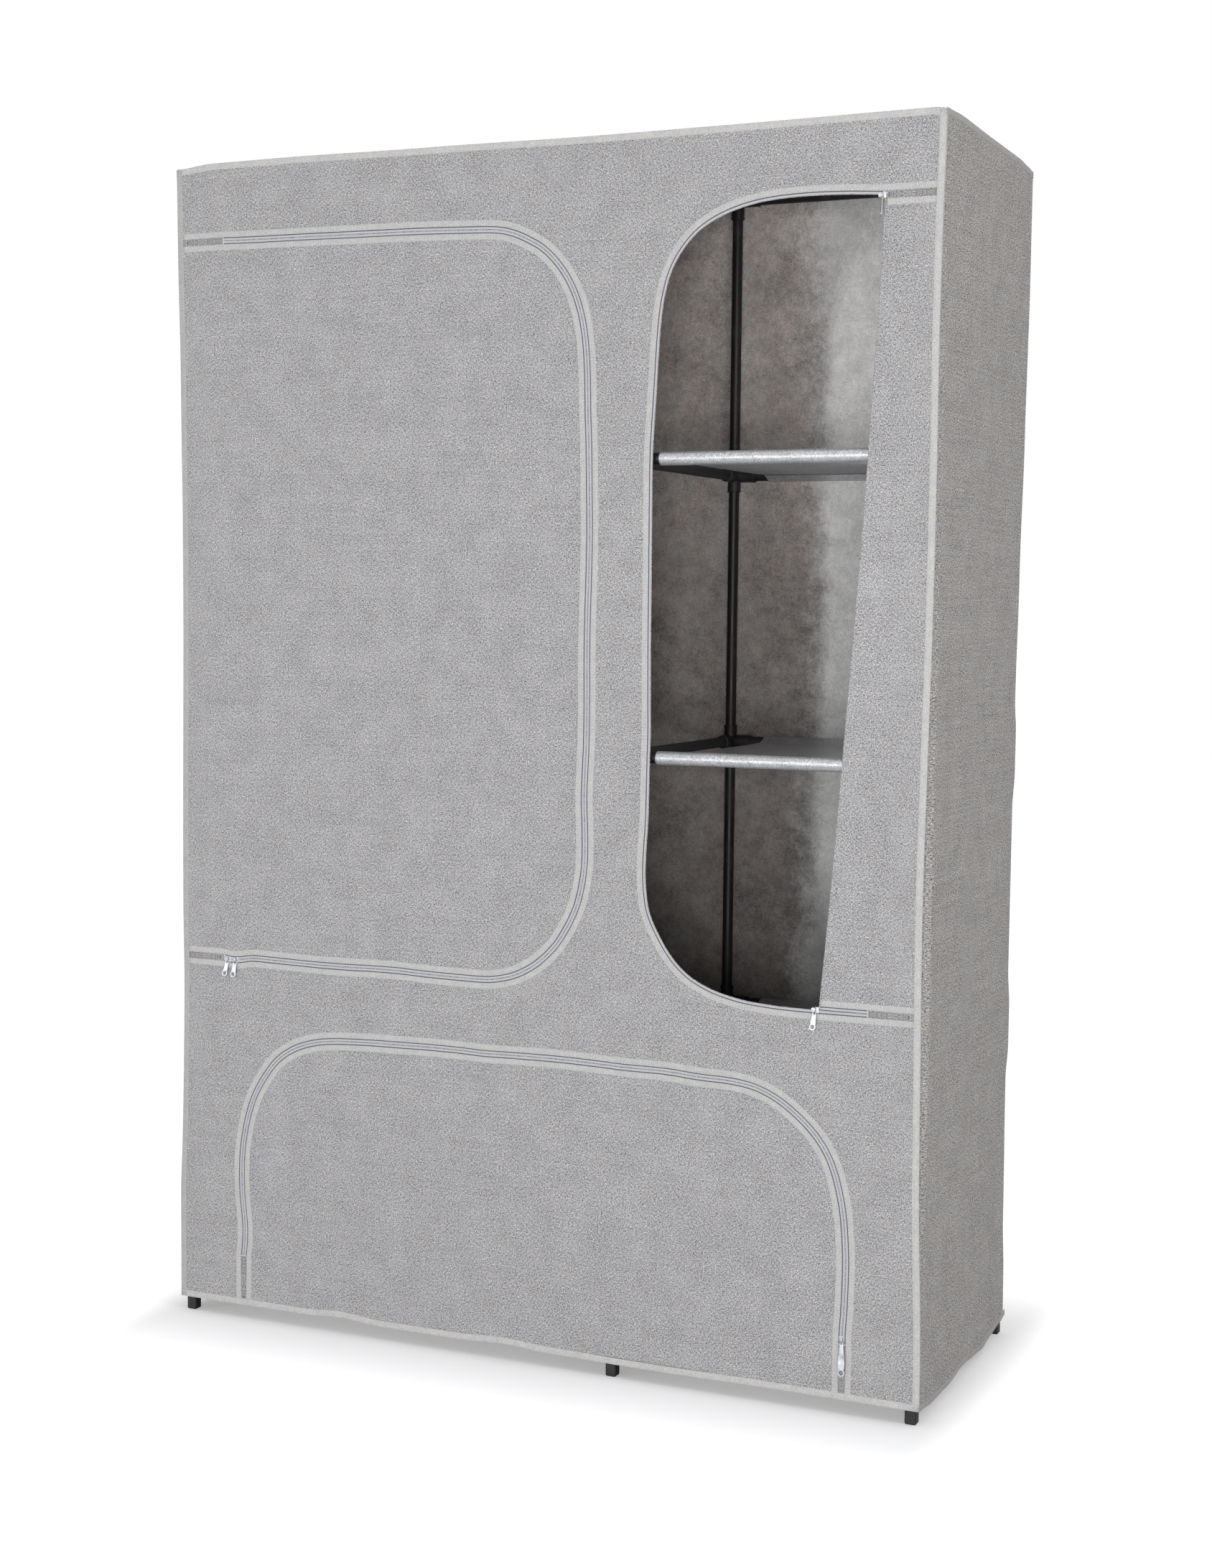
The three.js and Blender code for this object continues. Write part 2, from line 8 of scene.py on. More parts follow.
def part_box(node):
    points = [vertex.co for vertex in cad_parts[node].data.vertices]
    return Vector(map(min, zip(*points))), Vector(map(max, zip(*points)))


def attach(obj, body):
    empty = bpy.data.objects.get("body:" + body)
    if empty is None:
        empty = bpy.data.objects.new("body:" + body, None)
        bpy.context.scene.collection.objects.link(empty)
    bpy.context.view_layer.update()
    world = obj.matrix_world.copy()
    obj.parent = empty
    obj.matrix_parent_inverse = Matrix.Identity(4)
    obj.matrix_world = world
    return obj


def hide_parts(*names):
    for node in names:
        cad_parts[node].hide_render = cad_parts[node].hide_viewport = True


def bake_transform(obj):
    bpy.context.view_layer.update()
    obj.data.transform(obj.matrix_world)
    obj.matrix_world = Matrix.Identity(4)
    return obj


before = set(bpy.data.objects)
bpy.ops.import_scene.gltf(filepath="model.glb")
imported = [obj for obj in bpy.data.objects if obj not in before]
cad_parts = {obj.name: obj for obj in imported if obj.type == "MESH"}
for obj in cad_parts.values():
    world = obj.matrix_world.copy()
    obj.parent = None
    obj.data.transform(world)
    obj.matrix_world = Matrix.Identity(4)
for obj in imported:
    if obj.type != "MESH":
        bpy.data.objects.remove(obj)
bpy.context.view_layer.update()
print("frame loaded:", len(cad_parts), "nodes")

# the camera stands where the photograph was taken from
view = {"place": (1.4431, -3.1596, 1.1059), "turn": 0.4235, "tilt": 0.0787, "roll": 0.0104, "lens": 52.68}

camera = bpy.data.objects.new("camera", bpy.data.cameras.new("camera"))
camera.data.sensor_width = 36
camera.data.lens = view["lens"]
camera.data.clip_end = 60
camera.matrix_world = (
    Matrix.Translation(view["place"])
    @ Matrix.Rotation(view["turn"], 4, "Z")
    @ Matrix.Rotation(math.pi / 2 - view["tilt"], 4, "X")
    @ Matrix.Rotation(view["roll"], 4, "Z")
)
bpy.context.collection.objects.link(camera)
bpy.context.scene.camera = camera
bpy.context.scene.view_settings.view_transform = "Standard"

# daylight studio: soft sky, a key from the front left, a low fill near the camera, a lamp high on the right,
# a faint one inside the top bay and a narrow one aimed into the open door, with white paper below
studio = {
    "sky": (0.18, 0.49),
    "paper": (0.84, 0.84, 0.85),
    # glow near and far from the object: the lower glow near it is painted shade
    "paperGlowAndShade": (0.30, 0.62),
    "paperReach": (3.2, 0.26),
    "footprint": (0.595, 0.230),
}
# kind, power, place, aim, and an area lamp's two sides or a spot's cone in degrees
lamps = {
    "stripLamp": ("AREA", 76, (-1.0, -6.1, 0.80), (0.25, 0.0, 1.10), (0.30, 1.5)),
    "windowLamp": ("AREA", 42, (-4.6, -4.4, 1.3), (0.0, 0.0, 1.0), (0.45, 0.45)),
    "fillLamp": ("AREA", 44, (1.9, -4.3, 0.75), (0.2, 0.0, 1.10), (1.0, 1.0)),
    "sideLamp": ("AREA", 22, (2.9, -1.3, 2.9), (0.5, 0.0, 1.4), (0.9, 0.9)),
    "bayLamp": ("AREA", 0.26, (0.49, -0.14, 1.42), (0.36, 0.21, 1.46), (0.04, 0.30)),
    "bounceLamp": ("SPOT", 9, (0.40, -1.35, 0.30), (0.37, -0.05, 1.29), 17),
}


# node helpers; "look" is the material or the world that is being built
def addNode(look, kind, inputs=None, **settings):
    node = look.node_tree.nodes.new(kind)
    for key, value in settings.items():
        setattr(node, key, value)
    for key, value in (inputs or {}).items():
        if isinstance(value, bpy.types.NodeSocket):
            look.node_tree.links.new(value, node.inputs[key])
        else:
            node.inputs[key].default_value = value
    return node


def calculate(look, operation, first, second=0.0, third=0.0):
    return addNode(look, "ShaderNodeMath", {0: first, 1: second, 2: third}, operation=operation).outputs[0]


def times(look, first, second):
    return calculate(look, "MULTIPLY", first, second)


def minus(look, first, second):
    return calculate(look, "SUBTRACT", first, second)


def timesPlus(look, value, factor, more):
    return calculate(look, "MULTIPLY_ADD", value, factor, more)


def clothUv(look):
    return addNode(look, "ShaderNodeUVMap", uv_map="cloth").outputs["UV"]


def ownPlace(look):
    return addNode(look, "ShaderNodeTexCoord").outputs["Object"]


def split(look, vector):
    return addNode(look, "ShaderNodeSeparateXYZ", {0: vector}).outputs


def scaled(look, vector, scale, move=(0, 0, 0)):
    inputs = {"Vector": vector, "Scale": scale, "Location": move}
    return addNode(look, "ShaderNodeMapping", inputs).outputs["Vector"]


def grain(look, vector, scale, detail=2.0, rough=0.6):
    inputs = {"Vector": vector, "Scale": scale, "Detail": detail, "Roughness": rough}
    return addNode(look, "ShaderNodeTexNoise", inputs).outputs["Fac"]


def spread(look, value, low, high, to=(0.0, 1.0), kind="LINEAR"):
    inputs = {"Value": value, "From Min": low, "From Max": high, "To Min": to[0], "To Max": to[1]}
    return addNode(look, "ShaderNodeMapRange", inputs, interpolation_type=kind).outputs["Result"]


def blendColors(look, factor, first, second):
    colors = [(*value, 1) if isinstance(value, tuple) else value for value in (first, second)]
    inputs = {0: factor, 6: colors[0], 7: colors[1]}
    return addNode(look, "ShaderNodeMix", inputs, data_type="RGBA", blend_type="MIX").outputs[2]


def shade(look, color, factor):
    inputs = {0: color, "Scale": factor}
    return addNode(look, "ShaderNodeVectorMath", inputs, operation="SCALE").outputs["Vector"]


def startLook(data, name):
    look = data.new(name)
    look.use_nodes = True
    return look


def makeWorld():
    world = startLook(bpy.data.worlds, "studio")
    bpy.context.scene.world = world
    world.node_tree.nodes.clear()
    rays = addNode(world, "ShaderNodeLightPath").outputs
    seen = calculate(world, "MAXIMUM", rays["Is Camera Ray"], rays["Is Glossy Ray"])
    height = split(world, addNode(world, "ShaderNodeTexCoord").outputs["Generated"])["Z"]
    low, rise = studio["sky"]
    strength = spread(world, height, 0, 1, (low, low + rise))
    sky = addNode(world, "ShaderNodeBackground", {"Color": (0.985, 0.99, 1.0, 1), "Strength": strength})
    white = addNode(world, "ShaderNodeBackground", {"Color": (1, 1, 1, 1), "Strength": 1.0})
    mix = addNode(world, "ShaderNodeMixShader", {0: seen, 1: sky.outputs[0], 2: white.outputs[0]})
    addNode(world, "ShaderNodeOutputWorld", {"Surface": mix.outputs[0]})


def makeLamp(name, kind, power, place, aim, size):
    lamp = bpy.data.objects.new(name, bpy.data.lights.new(name, kind))
    if kind == "AREA":
        lamp.data.shape = "RECTANGLE"
        lamp.data.size, lamp.data.size_y = size
    else:
        lamp.data.spot_size = math.radians(size)
        lamp.data.spot_blend = 1.0
        lamp.data.shadow_soft_size = 0.12
    lamp.data.energy = power
    turn = (Vector(aim) - Vector(place)).to_track_quat("-Z", "Y")
    lamp.matrix_world = Matrix.Translation(place) @ turn.to_matrix().to_4x4()
    lamp.visible_camera = False
    bpy.context.collection.objects.link(lamp)


# the paper glows for the camera alone, more and more away from the object, so that it ends in white;
# its weaker glow near the object is painted shade, on top of the shadow that the lamps cast
def makePaper():
    look = startLook(bpy.data.materials, "studioPaper")
    look.node_tree.nodes.clear()
    stretch, reach = studio["paperReach"]
    place = split(look, ownPlace(look))
    gap = {}
    for index, (half, pull) in enumerate(zip(studio["footprint"], (stretch, 1.0))):
        gap[index] = spread(look, calculate(look, "ABSOLUTE", place[index]), half, half + 1, (0, pull))
    gap = addNode(look, "ShaderNodeCombineXYZ", gap).outputs[0]
    away = addNode(look, "ShaderNodeVectorMath", {0: gap}, operation="LENGTH").outputs["Value"]
    # painted shade: the glow is weaker near the footprint, which darkens the paper round the object
    fade = spread(look, away, 0, reach, studio["paperGlowAndShade"], "SMOOTHSTEP")
    strength = times(look, addNode(look, "ShaderNodeLightPath").outputs["Is Camera Ray"], fade)
    glow = addNode(look, "ShaderNodeEmission", {"Strength": strength})
    paper = addNode(look, "ShaderNodeBsdfDiffuse", {"Color": (*studio["paper"], 1)})
    both = addNode(look, "ShaderNodeAddShader", {0: paper.outputs[0], 1: glow.outputs[0]})
    addNode(look, "ShaderNodeOutputMaterial", {"Surface": both.outputs[0]})
    sheet = bmesh.new()
    bmesh.ops.create_grid(sheet, x_segments=1, y_segments=1, size=14)
    mesh = bpy.data.meshes.new("paper")
    sheet.to_mesh(mesh)
    sheet.free()
    mesh.materials.append(look)
    floor = bpy.data.objects.new("paper", mesh)
    bpy.context.collection.objects.link(floor)


makeWorld()
for name, values in lamps.items():
    makeLamp(name, *values)
makePaper()
print("camera, lamps and paper ready")


# materials
def startMaterial(name, color, roughness, **sockets):
    look = startLook(bpy.data.materials, name)
    shader = look.node_tree.nodes["Principled BSDF"]
    shader.inputs["Base Color"].default_value = (*color, 1)
    shader.inputs["Roughness"].default_value = roughness
    for socket, value in sockets.items():
        shader.inputs[socket].default_value = value
    return look


def finishMaterial(look, color, height, depth, strength, roughness=None):
    inputs = look.node_tree.nodes["Principled BSDF"].inputs
    look.node_tree.links.new(color, inputs["Base Color"])
    if roughness:
        look.node_tree.links.new(roughness, inputs["Roughness"])
    bump = addNode(look, "ShaderNodeBump", {"Height": height, "Distance": depth, "Strength": strength})
    look.node_tree.links.new(bump.outputs["Normal"], inputs["Normal"])
    return look


def tinted(color, shares):
    return tuple(channel * share for channel, share in zip(color, shares))


# printed linen look of the cover: short crossed threads, fine speckle, faint lines and clouds
def linenPrint(name, color, warm, weave, contrast=1.0, clouds=0.13, lines=0.20):
    look = startMaterial(name, color, 0.93, **{"Specular IOR Level": 0.18, "Sheen Weight": 0.12})
    uv = clothUv(look)
    threads, (wide, narrow, dots) = weave
    weft = grain(look, scaled(look, uv, (*wide, 1)), 1.0, 1.0)
    warp = grain(look, scaled(look, uv, (*narrow, 1), (3.1, 7.7, 0)), 1.0, 1.0)
    value = timesPlus(look, weft, threads[0], times(look, warp, threads[1]))
    value = timesPlus(look, grain(look, uv, dots, 1.0, 0.8), threads[2], value)
    drift = grain(look, scaled(look, uv, (20, 17, 1)), 1.0, 5.0, 0.85)
    drift = spread(look, drift, 0.3, 0.7, (-clouds, clouds))
    line = grain(look, scaled(look, uv, (5, 240, 1), (1, 4, 0)), 1.0, 1.0)
    drift = timesPlus(look, minus(look, line, 0.5), lines, drift)
    tone = timesPlus(look, minus(look, value, sum(threads) / 2), contrast, drift)
    factor = calculate(look, "MAXIMUM", calculate(look, "ADD", tone, 1.0), 0.3)
    hue = grain(look, scaled(look, uv, (34, 30, 1), (5, 2, 0)), 1.0, 3.0, 0.7)
    base = blendColors(look, spread(look, hue, 0.35, 0.65), color, warm)
    return finishMaterial(look, shade(look, base, factor), value, 0.0004, 0.35)


# pale non-woven binding; "rows" are the distances of its stitch rows on the UV's v
# and "stitch" is how much they show
def bindingTape(name, color, rows=(), stitch=0.5, pitch=0.0043):
    look = startMaterial(name, color, 0.85, **{"Specular IOR Level": 0.25})
    uv = clothUv(look)
    dots = addNode(look, "ShaderNodeTexVoronoi", {"Vector": uv, "Scale": 620.0, "Randomness": 0.75})
    pits = spread(look, dots.outputs["Distance"], 0.12, 0.55)
    fibre = grain(look, uv, 430, 2.0, 0.8)
    blot = grain(look, uv, 80, 3.0, 0.8)
    factor = timesPlus(look, blot, 0.45, timesPlus(look, pits, 0.16, calculate(look, "ADD", fibre, 0.195)))
    height = timesPlus(look, pits, 0.5, fibre)
    tint = blendColors(look, spread(look, blot, 0.40, 0.60), color, tinted(color, (1.0, 0.992, 0.955)))
    result = shade(look, tint, factor)
    if rows:
        along, across = split(look, uv)[:2]
        step = calculate(look, "FRACT", calculate(look, "DIVIDE", along, pitch))
        onStitch = calculate(look, "LESS_THAN", step, 0.62)
        show = spread(look, grain(look, uv, 150, 2.0, 0.6), 0.35, 0.65, (0.25, 1.0))
        thread = 0.0
        for row in rows:
            away = calculate(look, "ABSOLUTE", minus(look, across, row))
            thread = calculate(look, "MAXIMUM", calculate(look, "LESS_THAN", away, 0.00055), thread)
        thread = times(look, thread, show)
        stitched = times(look, thread, onStitch)
        hole = minus(look, thread, stitched)
        # between the stitches the row is darkened as painted shade in the needle holes
        result = blendColors(look, times(look, hole, 0.6 * stitch), result, (0.2, 0.2, 0.21))
        result = blendColors(look, times(look, stitched, stitch), result, (0.72, 0.72, 0.73))
        height = timesPlus(look, hole, -0.9, timesPlus(look, stitched, 0.9, height))
    return finishMaterial(look, result, height, 0.0003, 0.6)


def zipCoilFinish(name, color, pitch=0.0013):
    look = startMaterial(name, color, 0.38, **{"Specular IOR Level": 0.5})
    along, across = split(look, clothUv(look))[:2]
    wave = calculate(look, "SINE", times(look, timesPlus(look, across, 0.25, along), 2 * math.pi / pitch))
    tone = spread(look, wave, -1.0, 0.6, (0.62, 1.0))
    return finishMaterial(look, shade(look, color, tone), wave, 0.00025, 0.8)


def zipTapeFinish(name, color):
    look = startMaterial(name, color, 0.9, **{"Specular IOR Level": 0.15})
    inputs = {"Vector": clothUv(look), "Scale": 260.0, "Distortion": 1.2}
    ribs = addNode(look, "ShaderNodeTexWave", inputs, wave_type="BANDS", bands_direction="X").outputs["Fac"]
    tone = blendColors(look, ribs, tinted(color, (0.6, 0.6, 0.6)), color)
    return finishMaterial(look, tone, ribs, 0.0002, 0.5)


# lining side of the cover: unprinted non-woven, blotchy and brownish; given a second colour it gets a painted
# light zone, paler on the right where the back wall catches the light, and painted shade that darkens the rest
# towards the bottom
def liningCloth(name, color, paintedLightColor=None):
    look = startMaterial(name, color, 0.95, **{"Specular IOR Level": 0.12})
    place = ownPlace(look)
    blotches = grain(look, place, 16, 7.0, 0.92)
    value = timesPlus(look, grain(look, place, 460, 2.0, 0.9), 0.62, blotches)
    factor = spread(look, value, 0.585, 1.035, (0.42, 1.58))
    warmth = grain(look, scaled(look, place, (21, 21, 21), (4, 1, 7)), 1.0, 3.0, 0.8)
    base = blendColors(look, spread(look, warmth, 0.35, 0.65), color, tinted(color, (0.93, 0.985, 1.02)))
    if paintedLightColor:
        # painted light: a soft-edged zone on the right takes the second, paler colour
        across, _, up = split(look, place)
        edge = timesPlus(look, blotches, 0.10, across)
        edge = timesPlus(look, calculate(look, "SINE", times(look, up, 4.2)), 0.008, edge)
        share = spread(look, edge, 0.282, 0.342, (0.0, 1.0), "SMOOTHSTEP")
        # painted shade: outside the light zone the lining darkens towards the bottom
        paintedDim = spread(look, up, 0.60, 1.60, (0.46, 0.86))
        base = blendColors(look, share, shade(look, base, paintedDim), paintedLightColor)
        # the blotches show less inside the painted light zone
        calm = timesPlus(look, minus(look, factor, 1.0), 0.55, 1.0)
        factor = timesPlus(look, share, minus(look, calm, factor), factor)
    return finishMaterial(look, shade(look, base, factor), value, 0.0005, 0.3)


# coated shelf cloth: satin silver with a fine bright and dark fleck
def silverCloth(name, color, roughness, metallic):
    look = startMaterial(name, color, roughness, **{"Metallic": metallic, "Specular IOR Level": 0.6})
    uv = clothUv(look)
    fine = grain(look, uv, 760, 2.0, 0.9)
    fleck = addNode(look, "ShaderNodeTexVoronoi", {"Vector": uv, "Scale": 620.0})
    bright, deep = split(look, fleck.outputs["Color"])[:2]
    clouds = grain(look, uv, 30, 4.0, 0.7)
    tone = spread(look, clouds, 0.3, 0.7, (0.90, 1.08))
    tone = times(look, tone, spread(look, fine, 0.25, 0.75, (0.72, 1.28)))
    mixed = blendColors(look, times(look, spread(look, bright, 0.70, 0.95), 0.55), color, (0.88, 0.89, 0.92))
    mixed = blendColors(look, times(look, spread(look, deep, 0.75, 0.95), 0.40), mixed, (0.16, 0.16, 0.17))
    return finishMaterial(look, shade(look, mixed, tone), timesPlus(look, clouds, 1.2, fine), 0.0005, 0.45)


def blackCoat(name, color, roughness, scale):
    look = startMaterial(name, color, roughness, **{"Specular IOR Level": 0.5})
    place = ownPlace(look)
    dust = grain(look, place, 24, 4.0, 0.65)
    worn = tuple(min(1, channel * 2.1 + 0.012) for channel in color)
    dusty = blendColors(look, spread(look, dust, 0.5, 0.75), color, worn)
    rough = spread(look, dust, 0.3, 0.7, (roughness - 0.07, roughness + 0.1))
    return finishMaterial(look, dusty, grain(look, place, scale, 2.0, 0.5), 0.0002, 0.4, rough)


def castMetal(name, color):
    look = startMaterial(name, color, 0.42, **{"Metallic": 1.0})
    place = ownPlace(look)
    smudge = grain(look, place, 160, 3.0, 0.6)
    dull = blendColors(look, spread(look, smudge, 0.45, 0.75), color, tinted(color, (0.7, 0.7, 0.7)))
    rough = spread(look, smudge, 0.3, 0.7, (0.36, 0.50))
    return finishMaterial(look, dull, grain(look, place, 900, 3.0, 0.6), 0.00012, 0.5, rough)


fineWeave = ((2.2, 2.0, 2.6), ((330, 900), (900, 350), 780))
slubWeave = ((2.8, 1.2, 2.4), ((185, 780), (560, 330), 540))
frontCloth = linenPrint("frontLinen", (0.404, 0.401, 0.410), (0.412, 0.401, 0.403), fineWeave)
doorCloth = linenPrint("doorLinen", (0.400, 0.398, 0.410), (0.411, 0.400, 0.402), fineWeave, 1.02)
sideCloth = linenPrint("sideLinen", (0.404, 0.392, 0.382), (0.415, 0.391, 0.371), slubWeave, 1.15, 0.16, 0.45)
patchCloth = linenPrint("patchLinen", (0.335, 0.330, 0.338), (0.342, 0.330, 0.330), fineWeave)
bandTape = bindingTape("bandTape", (0.520, 0.518, 0.522), (0.0064, 0.0123), 0.55)
edgeTape = bindingTape("edgeTape", (0.545, 0.541, 0.541), (0.0015, 0.0078), 0.22)
# the same tape, darker as painted shade: on the left front edge, the left corner and the back's sides
paintedShadeTape = bindingTape("paintedShadeTape", (0.432, 0.430, 0.434), (0.0079,), 0.75)
roofTape = bindingTape("roofTape", (0.455, 0.445, 0.430), (0.0072,), 0.40)
coilFinish = zipCoilFinish("coilFinish", (0.74, 0.75, 0.79))
# zip tape colour, darker also as painted shade in the grooves beside and between the coil halves
recessTapeShaded = zipTapeFinish("recessTapeShaded", (0.22, 0.22, 0.235))
lining = liningCloth("lining", (0.60, 0.56, 0.54))
# the back wall's lining: painted light on its right, painted shade lower down
wallLiningPaintedLight = liningCloth("wallLiningPaintedLight", (0.665, 0.588, 0.545), (0.76, 0.755, 0.745))
shelfSilver = silverCloth("shelfSilver", (0.50, 0.505, 0.525), 0.34, 0.45)
# uncoated matte reverse of the shelf cloth, also darker as painted shade on the shelves' undersides
shelfReverseShaded = silverCloth("shelfReverseShaded", (0.40, 0.405, 0.415), 0.75, 0.0)
tubeCoat = blackCoat("tubeCoat", (0.010, 0.010, 0.011), 0.46, 700)
connectorPlastic = blackCoat("connectorPlastic", (0.013, 0.013, 0.014), 0.52, 1400)
zipMetal = castMetal("zipMetal", (0.56, 0.575, 0.61))
tackThread = bindingTape("tackThread", (0.66, 0.66, 0.675))
print("materials ready")

# the cover's main lines, in metres, seen from the front: x to the right of the middle, z above the floor
cover = {
    "halfWidth": 0.595,
    "halfDepth": 0.230,
    "hem": 0.022,
    "top": 1.750,
    "binding": 0.0095,
    "cell": 0.012,
    "cloth": 0.0009,
    "gap": 0.0003,
}
leftZip = {
    "name": "left",
    "upright": False,
    "hinge": (-0.529, -0.517),
    "teeth": -0.512,
    "line": [
        (-0.5120, 0.5600), (-0.4990, 0.5580), (-0.4830, 0.5590), (-0.4630, 0.5623), (-0.4250, 0.5620),
        (-0.3550, 0.5610), (-0.3050, 0.5610), (-0.2550, 0.5623), (-0.2110, 0.5625), (-0.1630, 0.5610),
        (-0.1150, 0.5603), (-0.0670, 0.5605), (-0.0430, 0.5637), (-0.0210, 0.5696), (-0.0006, 0.5790),
        (0.0180, 0.5910), (0.0360, 0.6070), (0.0500, 0.6230), (0.0610, 0.6400), (0.0707, 0.6573),
        (0.0794, 0.6777), (0.0855, 0.7002), (0.0895, 0.7240), (0.0913, 0.7480), (0.0910, 0.7850),
        (0.0893, 0.8300), (0.0905, 0.8680), (0.0920, 0.9100), (0.0923, 0.9640), (0.0916, 1.0240),
        (0.0920, 1.0840), (0.0933, 1.1400), (0.0940, 1.2040), (0.0930, 1.2600), (0.0915, 1.3240),
        (0.0895, 1.3720), (0.0883, 1.4200), (0.0855, 1.4620), (0.0810, 1.4920), (0.0755, 1.5140),
        (0.0665, 1.5380), (0.0530, 1.5620), (0.0360, 1.5830), (0.0170, 1.6000), (-0.0020, 1.6110),
        (-0.0220, 1.6203), (-0.0435, 1.6267), (-0.0673, 1.6296), (-0.1150, 1.6315), (-0.1750, 1.6334),
        (-0.2350, 1.6344), (-0.3050, 1.6353), (-0.3790, 1.6364), (-0.4510, 1.6371), (-0.5120, 1.6384),
    ],
}
rightZip = {
    "name": "right",
    "upright": False,
    "hinge": (0.529, 0.517),
    "teeth": 0.512,
    "line": [
        (0.5120, 1.6420), (0.4900, 1.6436), (0.4650, 1.6453), (0.4320, 1.6466), (0.4050, 1.6468),
        (0.3800, 1.6462), (0.3550, 1.6444), (0.3311, 1.6410), (0.3106, 1.6363), (0.2900, 1.6296),
        (0.2693, 1.6200), (0.2486, 1.6060), (0.2278, 1.5830), (0.2123, 1.5550), (0.2025, 1.5180),
        (0.1980, 1.4793), (0.1955, 1.4404), (0.1935, 1.4010), (0.1913, 1.3620), (0.1892, 1.3230),
        (0.1886, 1.2840), (0.1888, 1.2050), (0.1890, 1.1260), (0.1892, 1.0470), (0.1900, 0.9670),
        (0.1905, 0.9270), (0.1896, 0.8870), (0.1885, 0.8070), (0.1862, 0.7666), (0.1850, 0.7262),
        (0.1888, 0.6880), (0.1955, 0.6660), (0.2063, 0.6450), (0.2180, 0.6260), (0.2325, 0.6080),
        (0.2500, 0.5925), (0.2710, 0.5805), (0.2980, 0.5705), (0.3350, 0.5628), (0.3780, 0.5592),
        (0.4150, 0.5582), (0.4380, 0.5580), (0.4650, 0.5580), (0.5120, 0.5582),
    ],
}
bottomZip = {
    "name": "bottom",
    "upright": True,
    "hinge": (0.0315, 0.040),
    "teeth": 0.100,
    "line": [
        (0.4850, 0.1000), (0.4850, 0.1180), (0.4868, 0.1500), (0.4880, 0.2000), (0.4873, 0.2300),
        (0.4850, 0.2620), (0.4820, 0.2860), (0.4773, 0.3090), (0.4710, 0.3320), (0.4620, 0.3545),
        (0.4495, 0.3750), (0.4340, 0.3930), (0.4160, 0.4090), (0.3970, 0.4230), (0.3755, 0.4348),
        (0.3530, 0.4430), (0.3290, 0.4473), (0.3050, 0.4489), (0.2810, 0.4492), (0.2570, 0.4503),
        (0.2330, 0.4520), (0.2090, 0.4528), (0.1610, 0.4524), (0.1130, 0.4536), (0.0650, 0.4544),
        (0.0170, 0.4540), (-0.0310, 0.4530), (-0.0670, 0.4520), (-0.1030, 0.4528), (-0.1510, 0.4530),
        (-0.1990, 0.4520), (-0.2470, 0.4510), (-0.2950, 0.4490), (-0.3185, 0.4473), (-0.3422, 0.4444),
        (-0.3647, 0.4390), (-0.3857, 0.4312), (-0.4050, 0.4204), (-0.4220, 0.4065), (-0.4360, 0.3895),
        (-0.4485, 0.3710), (-0.4590, 0.3520), (-0.4670, 0.3318), (-0.4735, 0.3094), (-0.4785, 0.2856),
        (-0.4818, 0.2610), (-0.4830, 0.2370), (-0.4830, 0.2130), (-0.4817, 0.1890), (-0.4790, 0.1656),
        (-0.4772, 0.1410), (-0.4780, 0.1176), (-0.4800, 0.1000),
    ],
}
seamX = cover["halfWidth"] - cover["binding"]


# a smooth curve through measured points
def curve(points, spacing=0.006):
    points = [Vector(point) for point in points]
    ends = [points[0] * 2 - points[1], *points, points[-1] * 2 - points[-2]]
    path = []
    for before, start, end, after in zip(ends, ends[1:], ends[2:], ends[3:]):
        steps = max(1, round((end - start).length / spacing))
        for step in range(steps):
            t = step / steps
            path.append(
                0.5 * ((2 * start) + (end - before) * t + (2 * before - 5 * start + 4 * end - after) * t * t
                + (3 * start - before - 3 * end + after) * t ** 3)
            )
    return [tuple(point) for point in path] + [tuple(points[-1])]


def curveAt(value, table):
    value = max(table[0][0], min(table[-1][0], value))
    for index, (start, end) in enumerate(zip(table, table[1:])):
        if value <= end[0]:
            break
    before, after = table[max(0, index - 1)], table[min(len(table) - 1, index + 2)]
    width = end[0] - start[0]
    t = (value - start[0]) / width
    slopeIn = (end[1] - before[1]) / (end[0] - before[0]) * width
    slopeOut = (after[1] - start[1]) / (after[0] - start[0]) * width
    rise = end[1] - start[1]
    square, cube = 3 * rise - 2 * slopeIn - slopeOut, slopeIn + slopeOut - 2 * rise
    return start[1] + slopeIn * t + square * t * t + cube * t ** 3


def hingeSteps(zone):
    return [zone[0] + (zone[1] - zone[0]) * step / 4 for step in range(5)]


def wayIn(door):
    return math.copysign(1, door["hinge"][1] - door["hinge"][0])


# a zip's line: from its start past the hinge, round its curve and back
def zipLine(door, start):
    line = curve(door["line"])
    way = wayIn(door)
    ends = [start, *[value for value in hingeSteps(door["hinge"]) if way * value > way * start]]
    first, last = (
        [(corner[0], value) if door["upright"] else (value, corner[1]) for value in values]
        for corner, values in ((line[0], ends), (line[-1], ends[::-1]))
    )
    return first + line + last


# the part of a seam that has teeth, and the plain patch at each of its ends
def seamParts(seam, door):
    axis, way, half = int(door["upright"]), wayIn(door), len(seam) // 2
    marked = [(point, way * (point[axis] - door["teeth"])) for point in seam]
    teeth = [point for point, past in marked if past >= -1e-6]
    return teeth, [[point for point, past in run if past <= 1e-6] for run in (marked[:half], marked[half:])]


def evenPath(points, spacing):
    path = [Vector(points[0])]
    for point in points[1:]:
        point, last = Vector(point), path[-1]
        length = (point - last).length
        if length < 1e-6:
            continue
        steps = max(1, math.ceil(length / spacing))
        path += [last.lerp(point, (step + 1) / steps) for step in range(steps)]
    return path


# the cloth is never quite flat: one soft relief that every piece on the front shares
relief = {"broad": 0.0011, "fine": 0.00035, "lift": 0.0007, "fade": 0.07}


